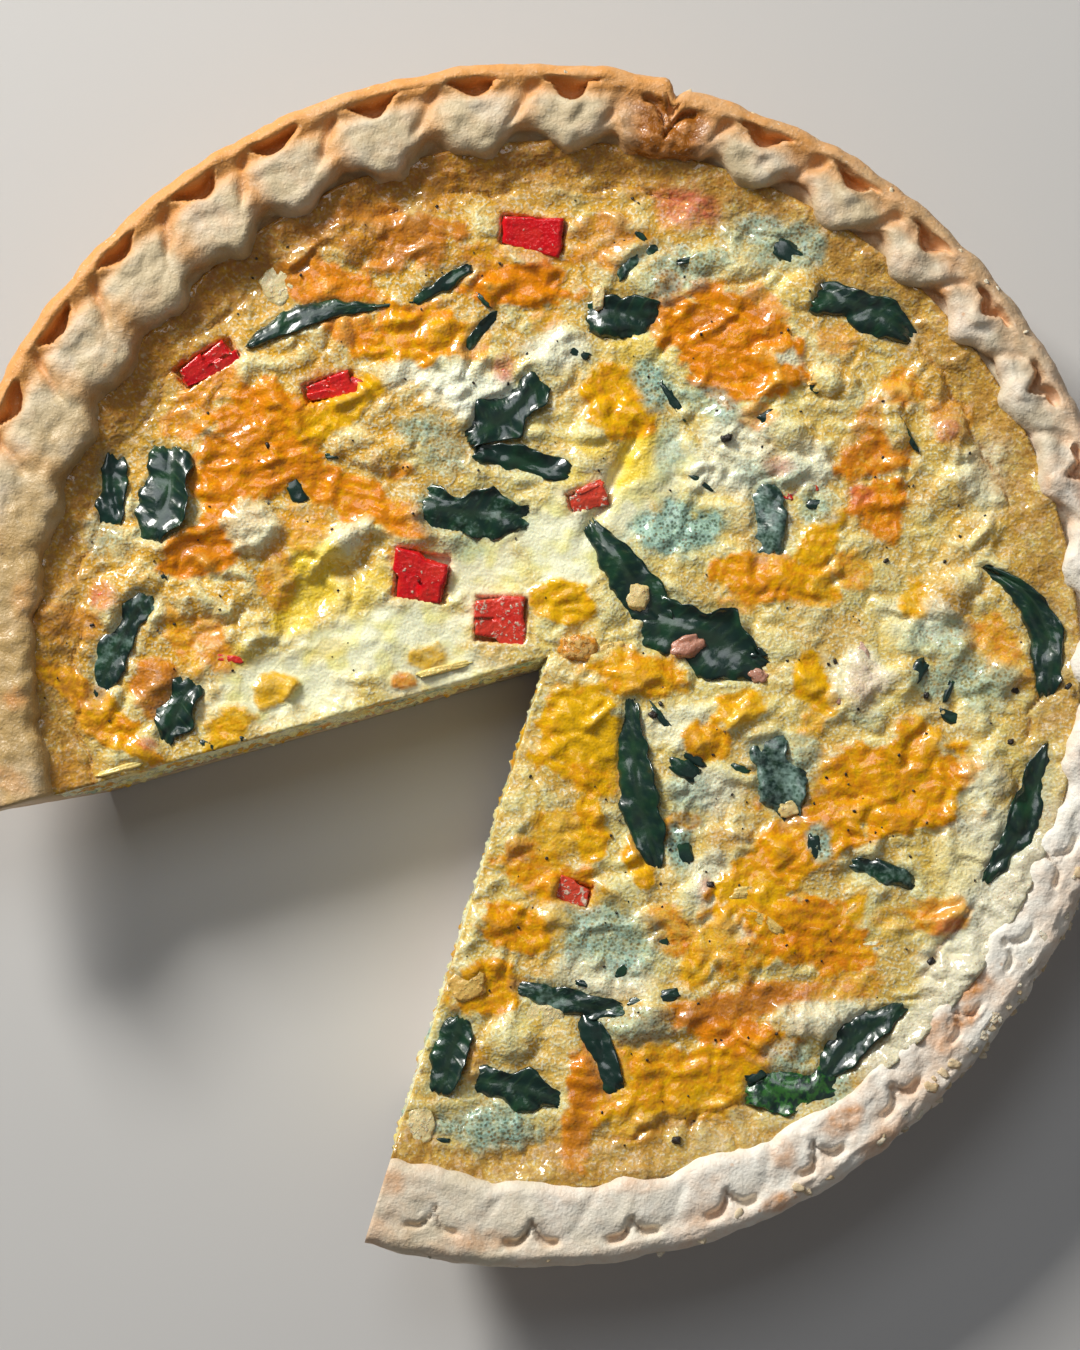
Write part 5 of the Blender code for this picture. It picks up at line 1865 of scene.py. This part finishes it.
@dataclass
class Studio:
    """Pale floor, soft light from the back left, and the camera above the quiche."""

    tilt: float = 5.0
    distance: float = 1.0
    aim: tuple[float, float, float] = (0.00152, -0.00338, 0.034)
    view_height: float = 0.2728
    floor_half: float = 1.5
    floor_colour: Colour = (0.62, 0.61, 0.60)
    sky_colour: Colour = (0.94, 0.96, 1.0)
    sky_strength: float = 0.09
    sensor: float = 36.0

    def floor(self) -> bpy.types.Object:
        """A plain pale floor."""
        g = Graph("studio_floor")
        g.finish(Base_Color=self.floor_colour, Roughness=0.9, Specular_IOR_Level=0.15)
        mesh = bpy.data.meshes.new("studio_floor")
        half = self.floor_half
        corners = [(-half, -half, 0.0), (half, -half, 0.0), (half, half, 0.0), (-half, half, 0.0)]
        mesh.from_pydata(corners, [], [(0, 1, 2, 3)])
        mesh.materials.append(g.material)
        plane = bpy.data.objects.new("studio_floor", mesh)
        bpy.context.scene.collection.objects.link(plane)
        return plane

    def lamp(self, name: str, heading: float, height: float, distance: float, size: float, power: float,
             colour: Colour) -> None:
        """A square soft light that faces the quiche.

        Args:
            name: The light's name.
            heading: Direction it stands in, in degrees from +X.
            height: Its elevation in degrees.
            distance: How far away it is, in metres.
            size: Side of its square, in metres.
            power: Its power in watts.
            colour: Its colour.
        """
        light = bpy.data.lights.new(name, "AREA")
        light.size = size
        light.energy = power
        light.color = colour
        lamp = bpy.data.objects.new(name, light)
        turn, rise = math.radians(heading), math.radians(height)
        way = Vector((math.cos(turn) * math.cos(rise), math.sin(turn) * math.cos(rise), math.sin(rise)))
        lamp.location = way * distance + Vector((0.0, 0.0, 0.03))
        lamp.rotation_euler = way.to_track_quat("Z", "Y").to_euler()
        bpy.context.scene.collection.objects.link(lamp)

    def build(self) -> None:
        """Sets up floor, lights, sky and camera."""
        self.floor()
        self.lamp("key", 128.0, 31.0, 1.3, 0.36, 20.5, (1.0, 0.975, 0.92))
        self.lamp("sheen", 112.0, 63.0, 1.2, 0.55, 2.2, (0.92, 0.96, 1.0))
        self.lamp("fill", -40.0, 60.0, 1.6, 1.4, 0.7, (1.0, 0.97, 0.93))
        world = bpy.data.worlds.new("studio_sky")
        world.use_nodes = True
        background = world.node_tree.nodes["Background"]
        background.inputs["Color"].default_value = (*self.sky_colour, 1.0)
        background.inputs["Strength"].default_value = self.sky_strength
        bpy.context.scene.world = world
        bpy.context.scene.view_settings.view_transform = "Standard"
        lens = bpy.data.cameras.new("camera")
        lens.sensor_width = self.sensor
        lens.lens = self.sensor * self.distance / self.view_height
        lens.clip_start = 0.01
        camera = bpy.data.objects.new("camera", lens)
        lean = math.radians(self.tilt)
        way = Vector((0.0, -math.sin(lean), math.cos(lean)))
        camera.location = Vector(self.aim) + self.distance * way
        camera.rotation_euler = (lean, 0.0, 0.0)
        bpy.context.scene.collection.objects.link(camera)
        bpy.context.scene.camera = camera


def main() -> None:
    """Builds the quiche piece by piece, then the studio."""
    logging.basicConfig(level=logging.INFO, format="%(message)s")
    pastry = Pastry().build()
    settle(Crust().build(pastry), "pastry", "crust", "crimped_rim")
    ham = Flesh("cooked_ham", (0.50, 0.21, 0.13), (0.80, 0.52, 0.40), (0.88, 0.70, 0.58), 0.36).build()
    settle(HamLayer().build(ham), "ham", "ham_layer")
    settle(Filling().build(BakedEgg().build()), "egg", "filling")
    pepper = Flesh("red_pepper_flesh", (0.74, 0.004, 0.010), (0.88, 0.15, 0.06), (0.92, 0.66, 0.50),
                   0.22, 0.55, 0.1, 2.5, 1.6)
    toppings = Toppings(WetLeaf().build(), pepper.build())
    for number, leaf in enumerate(LEAVES, 1):
        toppings.build_leaf(number, leaf)
    for number, die in enumerate(DICE, 1):
        toppings.build_die(number, die)
    scatter = Scatter(toppings.surface)
    onion = Flesh("soft_onion", (0.80, 0.56, 0.20), (0.94, 0.84, 0.50), (0.95, 0.9, 0.7), 0.3, 0.5, 0.3)
    melted = Flesh("melted_cheese", (0.86, 0.66, 0.20), (0.74, 0.27, 0.012), (0.9, 0.66, 0.25),
                   0.3, 0.4, 0.2)
    grain = Flesh("dark_grain", (0.010, 0.008, 0.007), (0.06, 0.035, 0.02), (0.2, 0.15, 0.1),
                  0.5, 0.3, 0.0, 1.0, 0.2)
    crumb = Flesh("pale_crumb", (0.74, 0.54, 0.30), (0.86, 0.76, 0.58), (0.9, 0.85, 0.75),
                  0.7, 0.0, 0.1)
    scatter.gather("spinach_bits", "spinach", LEAF_BITS, toppings.leaf, 0.35, 0.3, 8)
    scatter.gather("pepper_bits", "red_pepper", PEPPER_BITS, toppings.pepper, 0.25, 0.5, 8)
    scatter.gather("onion_pieces", "egg", ONION, onion.build(), 0.2, 0.45, 12)
    scatter.gather("ham_bits", "ham", HAM_BITS, ham, 0.3, 0.2, 10)
    scatter.gather("cheese_pieces", "egg", CHEESE_BITS, melted.build(), 0.25, 0.35, 12)
    scatter.grains(grain.build())
    scatter.crumbs(crumb.build())
    Studio().build()


if __name__ == "__main__":
    main()
